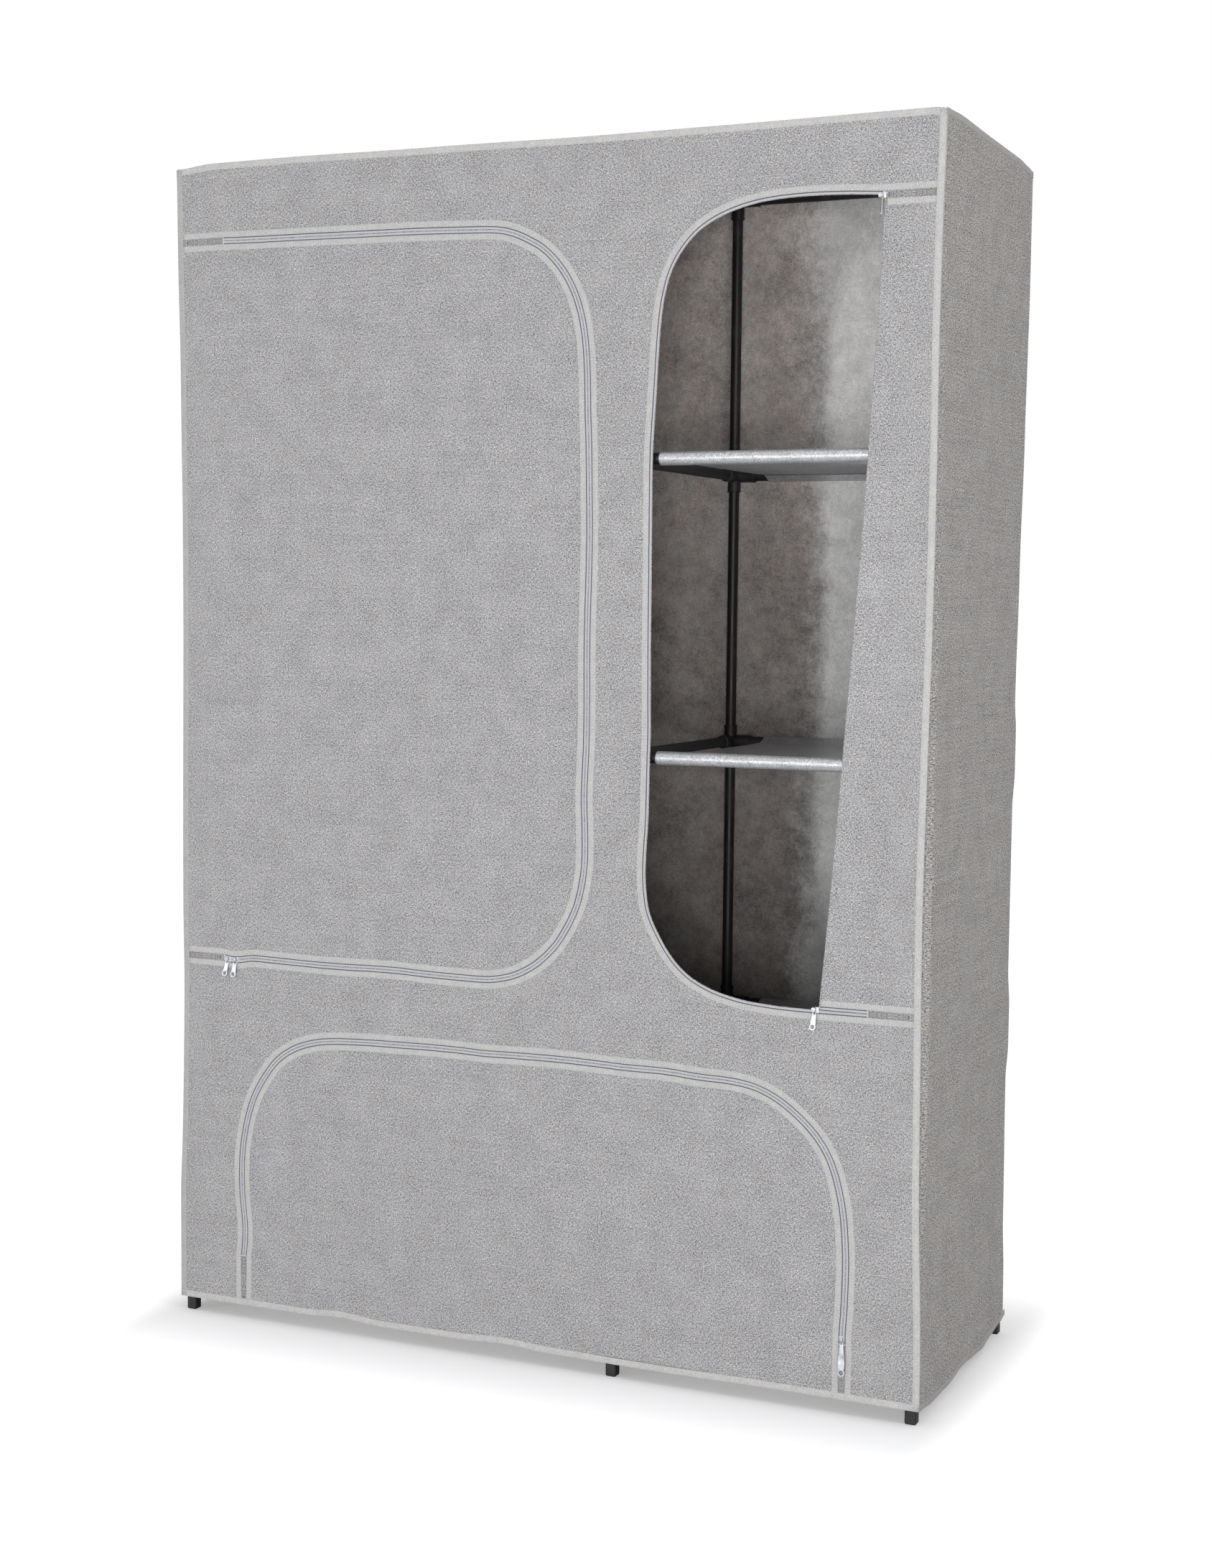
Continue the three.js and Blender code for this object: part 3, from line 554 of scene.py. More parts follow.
def smooth(value, low, high):
    t = max(0.0, min(1.0, (value - low) / (high - low)))
    return t * t * (3 - 2 * t)


def between(value, table):
    for (x0, y0), (x1, y1) in zip(table, table[1:]):
        if value <= x1:
            t = max(0.0, (value - x0) / (x1 - x0))
            t = t * t * (3 - 2 * t)
            return y0 + (y1 - y0) * t
    return table[-1][1]


topWave = [
    (-0.595, -0.0024), (-0.529, 0.0028), (-0.403, 0.0030), (-0.162, 0.0006), (0.113, -0.0020),
    (0.279, -0.0019), (0.587, -0.0006), (0.592, -0.0012), (0.595, -0.0032),
]
hemWave = [
    (-0.595, 0.0), (-0.370, 0.0006), (-0.309, 0.0042), (-0.240, 0.0), (-0.100, 0.0005),
    (-0.033, 0.0040), (0.040, 0.0004), (0.200, -0.0008), (0.400, 0.0008), (0.595, 0.0),
]
# how far the two front corners draw in between the roof and the hem
cornerPull = {
    -1: [
        (0.022, 0.0), (0.100, -0.0015), (0.160, -0.0012), (0.220, 0.0012), (0.280, 0.0038), (0.400, 0.0066),
        (0.520, 0.0080), (0.640, 0.0066), (0.820, 0.0072), (1.060, 0.0088), (1.240, 0.0084), (1.360, 0.0068),
        (1.480, 0.0054), (1.600, 0.0024), (1.720, 0.0008), (1.750, 0.0),
    ],
    1: [
        (0.022, 0.0), (0.060, 0.0), (0.150, 0.0016), (0.300, 0.0064), (0.500, 0.0086), (0.700, 0.0102),
        (0.900, 0.0076), (1.100, 0.0046), (1.300, 0.0036), (1.450, 0.0040), (1.550, 0.0034), (1.620, 0.0024),
        (1.680, 0.0010), (1.750, 0.0),
    ],
}


def drawIn(sign, z):
    return max(0.0, curveAt(z, cornerPull[sign]) - 0.0002)


def frontRelief(x, z):
    broad = noise.noise(Vector((x * 3.4, z * 2.1, 4.7)))
    fine = noise.noise(Vector((x * 13, z * 9, 9.1)))
    sag = noise.noise(Vector((x * 16, z * 1.6, 21.4)))
    edge = min(cover["halfWidth"] - abs(x), cover["top"] - z)
    weight = smooth(edge, 0.004, relief["fade"])
    return -weight * (relief["lift"] + relief["broad"] * broad + relief["fine"] * (fine + 0.8 * sag))


def shiftFront(point):
    x, z = point.x, point.z
    lift = between(x, topWave) * smooth(z, 1.66, cover["top"])
    lift += between(x, hemWave) * (1 - smooth(z, cover["hem"], 0.0315))
    sign = 1 if x > 0 else -1
    point.x -= sign * drawIn(sign, z) * smooth(abs(x), 0.531, 0.590)
    point.y += frontRelief(x, z)
    point.z += lift


def followFront(bm):
    for vert in bm.verts:
        shiftFront(vert.co)


def newBmesh():
    bm = bmesh.new()
    return bm, bm.loops.layers.uv.new("cloth")


def makePiece(name, bm, materials):
    mesh = bpy.data.meshes.new(name)
    for face in bm.faces:
        face.smooth = True
    bm.to_mesh(mesh)
    bm.free()
    for material in materials:
        mesh.materials.append(material)
    piece = bpy.data.objects.new(name, mesh)
    bpy.context.collection.objects.link(piece)
    return piece


def thicken(piece, thickness, offset=-1.0, innerMaterial=0):
    solid = piece.modifiers.new("thickness", "SOLIDIFY")
    solid.thickness = thickness
    solid.offset = offset
    solid.use_even_offset = False
    solid.material_offset = innerMaterial
    even = piece.modifiers.new("evenShade", "WEIGHTED_NORMAL")
    even.keep_sharp = True
    return piece


# cloth that is no door's goes with the wardrobe; a door's cloth has its place baked into its mesh
def carry(piece, door=None):
    if not door:
        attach(piece, "wardrobe")
        return
    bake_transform(piece)


def hangCloth(name, bm, materials, node, door=None, offset=-1.0):
    piece = makePiece(name, bm, materials)
    thicken(piece, cover["cloth"], offset, 1)
    carry(piece, door)
    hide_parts(node)
    return piece


# a cloth made from a grid: "shape" turns shares across and up into a place and its spot on the UV
def gridCloth(columns, rows, shape, outward, pick=None):
    bm, uv = newBmesh()
    spots = {}
    for vert in bmesh.ops.create_grid(bm, x_segments=columns, y_segments=rows, size=0.5)["verts"]:
        vert.co, spots[vert] = shape(vert.co.x + 0.5, vert.co.y + 0.5)
    for face in bm.faces:
        for loop in face.loops:
            loop[uv].uv = spots[loop.vert]
    bmesh.ops.recalc_face_normals(bm, faces=bm.faces)
    normal = pick(bm.faces).normal if pick else sum((face.normal for face in bm.faces), Vector())
    if normal.dot(Vector(outward)) < 0:
        bmesh.ops.reverse_faces(bm, faces=bm.faces)
    return bm


# a sheet cut to an outline with holes: a plain grid inside and a ring of small faces up to each cut edge
def isInside(x, y, loop):
    inside = False
    for (x0, y0), (x1, y1) in zip(loop, loop[1:] + loop[:1]):
        if (y0 > y) != (y1 > y) and x < x0 + (y - y0) * (x1 - x0) / (y1 - y0):
            inside = not inside
    return inside


def cutCloth(outline, holes=(), columns=(), rows=()):
    cell = cover["cell"]
    loops = [[tuple(point) for point in loop] for loop in (outline, *holes)]
    low = Vector((min(p[0] for p in loops[0]), min(p[1] for p in loops[0]), 0))
    high = Vector((max(p[0] for p in loops[0]), max(p[1] for p in loops[0]), 0))
    bm, uv = newBmesh()
    size = high - low
    columnCount, rowCount = math.ceil(size.x / cell), math.ceil(size.y / cell)
    bmesh.ops.create_grid(bm, x_segments=columnCount, y_segments=rowCount, size=0.5)
    bmesh.ops.scale(bm, vec=(size.x, size.y, 1), verts=bm.verts)
    bmesh.ops.translate(bm, vec=(low + high) / 2, verts=bm.verts)
    marks = []
    for index, loop in enumerate(loops):
        marks += [(Vector((*point, 0)), index) for point in evenPath(loop + loop[:1], 0.003)]
    tree = kdtree.KDTree(len(marks))
    for number, (point, index) in enumerate(marks):
        tree.insert(point, number)
    tree.balance()
    outside = []
    for vert in bm.verts:
        spot = vert.co.x, vert.co.y
        kept = isInside(*spot, loops[0]) and not any(isInside(*spot, hole) for hole in loops[1:])
        if not kept or tree.find(vert.co)[2] < 0.45 * cell:
            outside.append(vert)
    bmesh.ops.delete(bm, geom=outside, context="VERTS")
    loose = [vert for vert in bm.verts if not vert.link_faces]
    bmesh.ops.delete(bm, geom=loose, context="VERTS")
    rings = {index: [] for index in range(len(loops))}
    for edge in bm.edges:
        if len(edge.link_faces) == 1:
            middle = (edge.verts[0].co + edge.verts[1].co) / 2
            rings[marks[tree.find(middle)[1]][1]].append(edge)
    for index, loop in enumerate(loops):
        verts = [bm.verts.new((point[0], point[1], 0)) for point in loop]
        edges = [bm.edges.new(pair) for pair in zip(verts, verts[1:] + verts[:1])]
        bmesh.ops.triangle_fill(bm, use_beauty=True, use_dissolve=False, edges=edges + rings[index])
    cuts = [((value, 0, 0), (1, 0, 0)) for value in columns] + [((0, value, 0), (0, 1, 0)) for value in rows]
    for place, normal in cuts:
        everything = bm.verts[:] + bm.edges[:] + bm.faces[:]
        bmesh.ops.bisect_plane(bm, geom=everything, dist=1e-5, plane_co=place, plane_no=normal)
    for vert in bm.verts:
        vert.co = Vector((vert.co.x, -cover["halfDepth"], vert.co.y))
    bm.normal_update()
    bmesh.ops.recalc_face_normals(bm, faces=bm.faces)
    if sum(face.normal.y for face in bm.faces) > 0:
        bmesh.ops.reverse_faces(bm, faces=bm.faces)
    for face in bm.faces:
        for loop in face.loops:
            loop[uv].uv = (loop.vert.co.x, loop.vert.co.z)
    followFront(bm)
    return bm


# a strip bent along a path: each station is (point, across, outward), the profile is (across, height) pairs
def addStrip(bm, stations, profile, materials=0):
    uv = bm.loops.layers.uv["cloth"]
    shape = [*profile, profile[0]]
    columns, rows = len(stations) - 1, len(shape) - 1
    made = bmesh.ops.create_grid(bm, x_segments=columns, y_segments=rows, size=0.5)["verts"]
    lengths = [0.0]
    for before, after in zip(stations, stations[1:]):
        lengths.append(lengths[-1] + (after[0] - before[0]).length)
    spots = {vert: (round((vert.co.x + 0.5) * columns), round((vert.co.y + 0.5) * rows)) for vert in made}
    for face in {face for vert in made for face in vert.link_faces}:
        row = min(spots[vert][1] for vert in face.verts)
        face.material_index = materials[row] if isinstance(materials, list) else materials
        for loop in face.loops:
            column, row = spots[loop.vert]
            loop[uv].uv = (lengths[column], abs(shape[row][0]))
    for vert, (column, row) in spots.items():
        point, side, outward = stations[column]
        offset, height = shape[row]
        vert.co = point + side * offset + outward * height
    bmesh.ops.remove_doubles(bm, verts=made, dist=2e-6)
    alive = [vert for vert in made if vert.is_valid]
    ends = [edge for edge in {edge for vert in alive for edge in vert.link_edges} if edge.is_boundary]
    if ends:
        bmesh.ops.holes_fill(bm, edges=ends, sides=0)


def frontStations(points, spacing=0.006):
    path = evenPath(points, spacing)
    stations = []
    for index, point in enumerate(path):
        before, after = path[max(0, index - 1)], path[min(len(path) - 1, index + 1)]
        along = (after - before).normalized()
        across = Vector((-along.y, 0, along.x))
        stations.append((Vector((point.x, -cover["halfDepth"], point.y)), across, Vector((0, -1, 0))))
    return stations


# one side of a zip: tape with its half of the coil, the binding beside it, and a plain patch past each end
zipShape = {
    "groove": 0.0006,
    "coil": (0.0008, 0.0036),
    "coilRise": 0.00062,
    "band": (0.0050, 0.01375),
    "bandRise": 0.00055,
    "tack": 0.0013,
}


def bandProfile(side):
    inner, outer = zipShape["band"]
    rise = zipShape["bandRise"]
    shape = [
        (inner, -0.0004),
        (inner + 0.0001, rise * 0.7),
        (inner + 0.0006, rise),
        ((inner + outer) / 2, rise * 0.86),
        (outer - 0.0006, rise),
        (outer - 0.0001, rise * 0.7),
        (outer, -0.0004),
    ]
    return [(side * across, height) for across, height in shape]


def coilProfile(side):
    inner, outer = zipShape["coil"]
    rise = zipShape["coilRise"]
    middle = (inner + outer) / 2
    shape = [
        (zipShape["groove"], -0.0004),
        (zipShape["groove"], 0.00008),
        (inner, 0.0001),
        (inner + 0.0003, rise * 0.72),
        (middle - 0.0005, rise),
        (middle + 0.0005, rise),
        (outer - 0.0003, rise * 0.72),
        (outer, 0.0001),
        (zipShape["band"][0] + 0.0002, 0.00008),
        (zipShape["band"][0] + 0.0002, -0.0004),
    ]
    return [(side * across, height) for across, height in shape]


def patchProfile(side):
    edge = zipShape["band"][0] + 0.0002
    shape = [
        (0.0002, -0.0004), (0.0002, 0.0002), (0.0006, 0.0003),
        (edge - 0.0008, 0.0003), (edge, 0.0001), (edge, -0.0004),
    ]
    return [(side * across, height) for across, height in shape]


# a short bar of stitches where the coil ends
def addTack(bm, patch, teeth, side):
    tips = [Vector(tip) for tip in (teeth[0], teeth[-1])]
    start, end = [min((Vector(point) - tip).length for tip in tips) for point in (patch[0], patch[-1])]
    near, far = (patch[0], patch[1]) if start < end else (patch[-1], patch[-2])
    away = (Vector(far) - Vector(near)).normalized() * zipShape["tack"]
    bar = [tuple(Vector(near) - away * 0.4), tuple(Vector(near) + away)]
    if start >= end:
        bar.reverse()
    shape = [
        (0.0001, -0.0003), (0.0001, 0.0004), (0.0006, 0.0007),
        (0.0042, 0.0007), (0.0047, 0.0004), (0.0047, -0.0003),
    ]
    addStrip(bm, frontStations(bar, 0.002), [(side * across, height) for across, height in shape], 4)


def zipSide(name, side, bands, teeth, patches, door=None, tacked=2):
    bm, uv = newBmesh()
    for points in bands:
        addStrip(bm, frontStations(points), bandProfile(side), 0)
    # the coil's middle groove and its outer edge take the tape darkened as painted shade
    addStrip(bm, frontStations(teeth), coilProfile(side), [2, 2, 1, 1, 1, 1, 1, 2, 2, 2])
    for points in patches:
        addStrip(bm, frontStations(points), patchProfile(side), 3)
    for points in patches[:tacked]:
        addTack(bm, points, teeth, side)
    bmesh.ops.recalc_face_normals(bm, faces=bm.faces)
    followFront(bm)
    piece = makePiece(name, bm, [bandTape, coilFinish, recessTapeShaded, patchCloth, tackThread])
    carry(piece, door)
    return piece


# a closed door and both halves of its zip
def closedDoor(door, outline, start):
    cuts = hingeSteps(door["hinge"])[1:]
    bm = cutCloth(outline, rows=cuts) if door["upright"] else cutCloth(outline, columns=cuts)
    flap = hangCloth(door["name"] + "_flap", bm, [doorCloth, lining], door["name"] + "_door", door)
    seam = zipLine(door, start)
    teeth, patches = seamParts(seam, door)
    fixed = zipSide(door["name"] + "_zip_fixed", -1, [seam], teeth, patches)
    moving = zipSide(door["name"] + "_zip_door", 1, [seam], teeth, patches, door)
    return flap, fixed, moving


def closedLoop(line, spacing=0.009):
    return [tuple(point) for point in evenPath(line + line[:1], spacing)][:-1]


# fixed front: everything between the three openings
w, hem, top = cover["halfWidth"], cover["hem"], cover["top"]
bottomLine = zipLine(bottomZip, hem)
frontOutline = [(-w, top), (-w, hem), (bottomLine[-1][0], hem)]
frontOutline += [tuple(point) for point in evenPath(list(reversed(bottomLine)), 0.008)][1:-1]
frontOutline += [(bottomLine[0][0], hem), (w, hem), (w, top)]
leftHole, rightHole, bottomHole = (
    closedLoop(zipLine(door, door["hinge"][0])) for door in (leftZip, rightZip, bottomZip)
)
bm = cutCloth(closedLoop(frontOutline, 0.012), [leftHole, rightHole])
frontPanel = hangCloth("front_panel", bm, [frontCloth, lining], "cover_front")
print("front panel cut")

leftFlap, leftZipFixed, leftZipDoor = closedDoor(leftZip, leftHole, -seamX)
print("left door zipped in")
bottomFlap, bottomZipFixed, bottomZipDoor = closedDoor(bottomZip, bottomHole, hem + 0.0005)
print("bottom door zipped in")

# right door: open. Its cloth runs from the hinge to a soft fold and returns behind itself.
tuck = {
    "fold": [
        (0.558, 1.0372), (0.660, 1.0462), (0.799, 1.0573), (0.930, 1.0668), (1.074, 1.0770), (1.222, 1.0872),
        (1.391, 1.0968), (1.500, 1.1032), (1.600, 1.1072), (1.642, 1.1085),
    ],
    "bend": 0.0012,
    "inner": 0.5135,
    "columns": 9,
    "rows": 150,
}


def foldAt(z):
    return curveAt(z, tuck["fold"]) - cover["halfWidth"]


def flapSection(z):
    fold, bend = foldAt(z), tuck["bend"]
    front = -cover["halfDepth"] + 0.0005
    centre = fold + bend + 0.0005
    section = [(x, front) for x in hingeSteps(rightZip["hinge"])]
    start, columns = rightZip["hinge"][1], tuck["columns"]
    section += [(start - (start - centre) * step / columns, front) for step in range(1, columns)]
    for step in range(7):
        angle = math.pi * step / 6
        section.append((centre - bend * math.sin(angle), front + bend * (1 - math.cos(angle))))
    back = tuck["inner"] - centre
    for step in range(1, 7):
        section.append((centre + back * step / 6, front + 2 * bend + 0.0004 * math.sin(math.pi * step / 6)))
    return section


def pathLength(points):
    return sum(math.dist(a, b) for a, b in zip(points, points[1:]))


tuckLow, tuckHigh = rightZip["line"][-1][1] + cover["gap"], rightZip["line"][0][1] - cover["gap"]
tuckColumns = len(flapSection(tuckLow)) - 1


def flapPlace(across, up):
    column = round(across * tuckColumns)
    z = tuckLow + (tuckHigh - tuckLow) * up
    section = flapSection(z)
    x, y = section[column]
    start = rightZip["hinge"][0]
    puff = smooth(start - x, 0.012, 0.03) * (1 - smooth(z, 1.56, 1.63)) * smooth(z, 0.56, 0.62)
    soft = noise.noise(Vector((x * 20, z * 5.5, 13.0))) + 0.4 * noise.noise(Vector((x * 45, z * 16, 17.0)))
    return Vector((x, y - 0.0009 * puff * (0.6 + soft), z)), (start - pathLength(section[: column + 1]), z)


def frontmost(faces):
    return min(faces, key=lambda face: face.calc_center_median().y)


bm = gridCloth(tuckColumns, tuck["rows"], flapPlace, (0, -1, 0), frontmost)
followFront(bm)
rightFlap = hangCloth("right_flap", bm, [doorCloth, lining], "right_door", rightZip, 0.0)
runs = [pathLength(flapSection(tuckLow + (tuckHigh - tuckLow) * step / 20)) for step in range(21)]

seamRight = zipLine(rightZip, seamX)
rightZipFixed = zipSide("right_zip_fixed", -1, [seamRight], *seamParts(seamRight, rightZip))

# the door's half of the zip shows only between the side seam and the fold
highLine, lowLine = rightZip["line"][0][1], rightZip["line"][-1][1]
hinge = hingeSteps(rightZip["hinge"])
lowDoor = [(foldAt(lowLine) + 0.003, lowLine), (rightZip["teeth"], lowLine)]
lowSeam = [*lowDoor, *[(x, lowLine) for x in reversed(hinge)], (seamX, lowLine)]
highSeam = [(x, highLine) for x in [seamX, *hinge, foldAt(highLine) + 0.0035]]
rightZipDoor = zipSide(
    "right_zip_door", 1, [lowSeam, highSeam], lowDoor, [lowSeam[1:], highSeam[:-1]], rightZip, tacked=1
)
print("right door folded back")

# side panels run round the rear posts: tight on them at the middle heights, square at the top and the hem
side = {
    "wrap": [
        (0.022, 0.72), (0.064, 0.76), (0.176, 0.90), (0.397, 1.0), (0.937, 1.0), (1.150, 0.80), (1.363, 0.40),
        (1.45, 0.22), (1.575, 0.02), (1.750, 0.0),
    ],
    "inset": [
        (0.022, 0.0016), (0.092, 0.0018), (0.176, 0.0040), (0.397, 0.0052), (0.446, 0.0024), (0.507, 0.0024),
        (0.560, 0.0050), (0.722, 0.0050), (0.805, 0.0050), (0.860, 0.0024), (0.922, 0.0024), (0.965, 0.0046),
        (1.150, 0.0030), (1.363, 0.0012), (1.575, 0.0), (1.750, 0.0),
    ],
    "square": 0.0012,
    "hem": [
        (-0.230, 0.0225), (-0.227, 0.0215), (-0.163, 0.016), (-0.087, 0.015), (-0.022, 0.021), (0.052, 0.015),
        (0.108, 0.011), (0.157, 0.0165), (0.206, 0.022), (0.230, 0.0265),
    ],
    "top": [
        (-0.230, 1.7468), (-0.226, 1.7492), (-0.150, 1.7520), (0.0, 1.7505), (0.150, 1.7500), (0.200, 1.7470),
        (0.230, 1.7442),
    ],
    "start": -0.2297,
    "seeds": {1: 2.0, -1: 61.0},
    "across": 56,
    "corner": 8,
    "rows": 150,
}


def rearCorner(z):
    inset, wrap = between(z, side["inset"]), between(z, side["wrap"])
    radius = side["square"] + (0.0137 - inset - side["square"]) * wrap
    return inset, radius


def sideRelief(y, z, seed):
    height = smooth(z, 0.02, 0.30) * 0.35 + 0.65
    ends = smooth(0.226 - abs(y), 0.0, 0.05)
    roof = 1 - smooth(z, 1.60, 1.735)
    soft = noise.noise(Vector((y * 9.5, z * 0.75, seed)))
    small = noise.noise(Vector((y * 26, z * 1.9, seed + 5)))
    slack = noise.noise(Vector((y * 4.5, z * 4.2, seed + 9)))
    return ends * roof * height * (0.0042 * soft + 0.0013 * small + 0.0022 * slack - 0.0008)


def pullIn(y, z):
    return rearCorner(z)[0] * smooth(y, -0.10, 0.19)


def sideSection(z, sign):
    inset, radius = rearCorner(z)
    edge = cover["halfWidth"] - cover["gap"]
    start, stop = side["start"], cover["halfDepth"] - inset - radius
    section = []
    for step in range(side["across"]):
        share = step / side["across"]
        y = start + (stop - start) * share * (0.35 + 0.65 * share) if share < 1 else stop
        pull = pullIn(y, z) + drawIn(sign, z) * (1 - smooth(y, -0.230, -0.213))
        section.append((edge - pull + sideRelief(y, z, side["seeds"][sign]), y))
    centre = (edge - inset - radius, stop)
    for step in range(side["corner"] + 1):
        angle = math.pi / 2 * step / side["corner"]
        section.append((centre[0] + radius * math.cos(angle), centre[1] + radius * math.sin(angle)))
    return section


def makeSide(name, sign):
    columns = side["across"] + side["corner"]

    def place(across, share):
        column = round(across * columns)
        z = hem + share * (top - hem)
        section = sideSection(z, sign)
        x, y = section[column]
        low, high = between(y, side["hem"]), between(y, side["top"])
        z += (low - hem) * (1 - smooth(share, 0, 0.12)) + (high - top) * smooth(share, 0.93, 1.0)
        return Vector((sign * x, y, z)), (pathLength(section[: column + 1]), z)

    def largest(faces):
        return max(faces, key=lambda face: face.calc_area())

    bm = gridCloth(columns, side["rows"], place, (sign, 0, 0), largest)
    return hangCloth(name + "_side", bm, [sideCloth, lining], f"cover_{name}_side")


rightSide = makeSide("right", 1)
leftSide = makeSide("left", -1)


# back: seen from the inside through the open door and from behind
def backPoint(across, share):
    z = hem + share * (top - hem)
    inset, radius = rearCorner(z)
    x = 2 * (cover["halfWidth"] - cover["gap"] - inset - radius) * across
    edge = smooth(0.5 - abs(across), 0, 0.10)
    roofEnd = 1 - smooth(z, 1.64, 1.74)
    soft = noise.noise(Vector((x * 5.2, z * 1.3, 31))) + 0.5 * noise.noise(Vector((x * 12, z * 4, 35)))
    y = cover["halfDepth"] - inset + edge * roofEnd * 0.0030 * soft
    wave = 0.003 * noise.noise(Vector((x * 6, 0, 41)))
    z += (wave + (0.0045 * (1 - edge))) * (1 - smooth(z, hem, 0.2))
    z -= 0.0056 * (1 - edge) * smooth(z, 1.64, top)
    return Vector((x, y, z))


def backPlace(across, share):
    point = backPoint(across - 0.5, share)
    return point, (point.x, point.z)


bm = gridCloth(90, 130, backPlace, (0, 1, 0))
# the back's lining carries painted light on its right and painted shade lower down
backPanel = hangCloth("back_panel", bm, [sideCloth, wallLiningPaintedLight], "cover_back")

# roof: sewn in at the top edges and resting on the top tubes
posts = {"left": -0.581, "middle": 0.136, "right": 0.581}
tubeRow = 0.216
roof = {"rest": 1.7396, "sag": 0.0035, "columns": 84, "rows": 40, "crowd": 1.6}


def roofHeight(x, y):
    edge = min(cover["halfWidth"] - 0.001 - abs(x), cover["halfDepth"] - 0.001 - abs(y))
    frontLift = between(x, topWave) * smooth(-y, 0.05, 0.229)
    rearDrop = -0.0056 * smooth(y, 0.15, 0.229) * smooth(abs(x), 0.5, 0.594)
    lifted = cover["top"] - 0.0006 + frontLift + rearDrop
    flat = roof["rest"]
    for left, right in ((posts["left"], posts["middle"]), (posts["middle"], posts["right"])):
        if left <= x <= right and abs(y) < tubeRow:
            span = math.sin(math.pi * (x - left) / (right - left)) * math.cos(math.pi * y / (2 * tubeRow))
            flat -= roof["sag"] * max(0.0, span)
    flat += 0.0008 * noise.noise(Vector((x * 9, y * 9, 71)))
    return lifted + (flat - lifted) * smooth(edge, 0.0, 0.030)


# columns and rows crowd towards the edges, where the cloth turns up
def roofPlace(across, up):
    spot = []
    for share, half in ((across, cover["halfWidth"]), (up, cover["halfDepth"])):
        share = 2 * share - 1
        spot.append(math.copysign(1 - (1 - abs(share)) ** roof["crowd"], share) * (half - 0.0012))
    return Vector((*spot, roofHeight(*spot))), tuple(spot)


bm = gridCloth(roof["columns"], roof["rows"], roofPlace, (0, 0, 1))
roofPanel = hangCloth("roof_panel", bm, [sideCloth, lining], "cover_roof")
print("sides, back and roof hung")

# bindings that cover the seams
binding = {
    "width": 0.0095,
    "rise": 0.0006,
    "sideTop": 0.0088,
    "sideHem": 0.0080,
    "corner": 0.0055,
    "spacing": 0.014,
}


def tapeProfile(width, rise, under=0.0005):
    return [
        (0.0, -under),
        (0.0, rise * 0.8),
        (0.0005, rise),
        (width * 0.5, rise * 0.85),
        (width - 0.0005, rise),
        (width - 0.0001, rise * 0.6),
        (width, -under),
    ]


def makeBinding(name, runs):
    bm, uv = newBmesh()
    for stations, profile, material in runs:
        addStrip(bm, stations, profile, material)
    bmesh.ops.recalc_face_normals(bm, faces=bm.faces)
    # material 1 is the tape darkened as painted shade
    piece = makePiece(name, bm, [edgeTape, paintedShadeTape, roofTape])
    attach(piece, "wardrobe")
    return piece


def bendTo(start, end, across, outward=(0, -1, 0)):
    stations = []
    for point in evenPath([start, end], binding["spacing"]):
        shiftFront(point)
        stations.append((point, Vector(across), Vector(outward)))
    return stations


d = cover["halfDepth"]
leftEdge = bendTo((-w, -d, hem), (-w, -d, top), (1, 0, 0))
rightEdge = bendTo((w, -d, hem), (w, -d, top), (-1, 0, 0))
topEdge = bendTo((-w, -d, top), (w, -d, top), (0, 0, -1))
hemEdge = bendTo((-w, -d, hem), (w, -d, hem), (0, 0, 1))
tape = tapeProfile(binding["width"], binding["rise"])
hemTape = tapeProfile(binding["width"], binding["rise"], 0.0012)
frontBinding = makeBinding(
    "front_binding", [(leftEdge, tape, 1), (rightEdge, tape, 0), (topEdge, tape, 0), (hemEdge, hemTape, 0)]
)


def sideEdge(sign, heights, direction):
    stations = []
    level = hem if direction > 0 else top
    for step in range(71):
        y = side["start"] + 0.4590 * step / 70
        x = cover["halfWidth"] - cover["gap"] - pullIn(y, level) + sideRelief(y, level, side["seeds"][sign])
        point = Vector((sign * x, y, between(y, heights)))
        stations.append((point, Vector((0, 0, direction)), Vector((sign, 0, 0))))
    return stations


# the corner binding turns a little way round onto the side, further near the roof
def cornerEdge(sign):
    stations = []
    for step in range(97):
        z = hem + 0.004 + (top - hem - 0.008) * step / 96
        reach = 0.30 + 0.70 * smooth(z, 1.35, 1.70)
        x = cover["halfWidth"] - cover["gap"] - drawIn(sign, z)
        stations.append((Vector((sign * x, -0.2302, z)), Vector((0, reach, 0)), Vector((sign, 0, 0))))
    return stations


sideTopTape = tapeProfile(binding["sideTop"], binding["rise"])
sideHemTape = tapeProfile(binding["sideHem"], binding["rise"])
cornerTape = tapeProfile(binding["corner"], binding["rise"])
sideBindings = {
    sign: makeBinding(
        name + "_side_binding",
        [
            (sideEdge(sign, side["top"], -1), sideTopTape, 2),
            (sideEdge(sign, side["hem"], 1), sideHemTape, 2),
            (cornerEdge(sign), cornerTape, 0 if sign > 0 else 1),
        ],
    )
    for name, sign in (("right", 1), ("left", -1))
}


# the back is bound along its top, its hem and both sides
def backEdge(ends, across):
    (fromAcross, fromShare), (toAcross, toShare) = ends
    stations = []
    for step in range(121):
        share = step / 120
        spot = fromAcross + (toAcross - fromAcross) * share, fromShare + (toShare - fromShare) * share
        point = backPoint(*spot)
        stations.append((point, Vector(across), Vector((0, 1, 0))))
    return stations


backBinding = makeBinding(
    "back_binding",
    [
        (backEdge(((-0.5, 0), (-0.5, 1)), (1, 0, 0)), tape, 1),
        (backEdge(((0.5, 0), (0.5, 1)), (-1, 0, 0)), tape, 1),
        (backEdge(((-0.5, 1), (0.5, 1)), (0, 0, -1)), tape, 2),
        (backEdge(((-0.5, 0), (0.5, 0)), (0, 0, 1)), hemTape, 2),
    ],
)


print("seams bound")

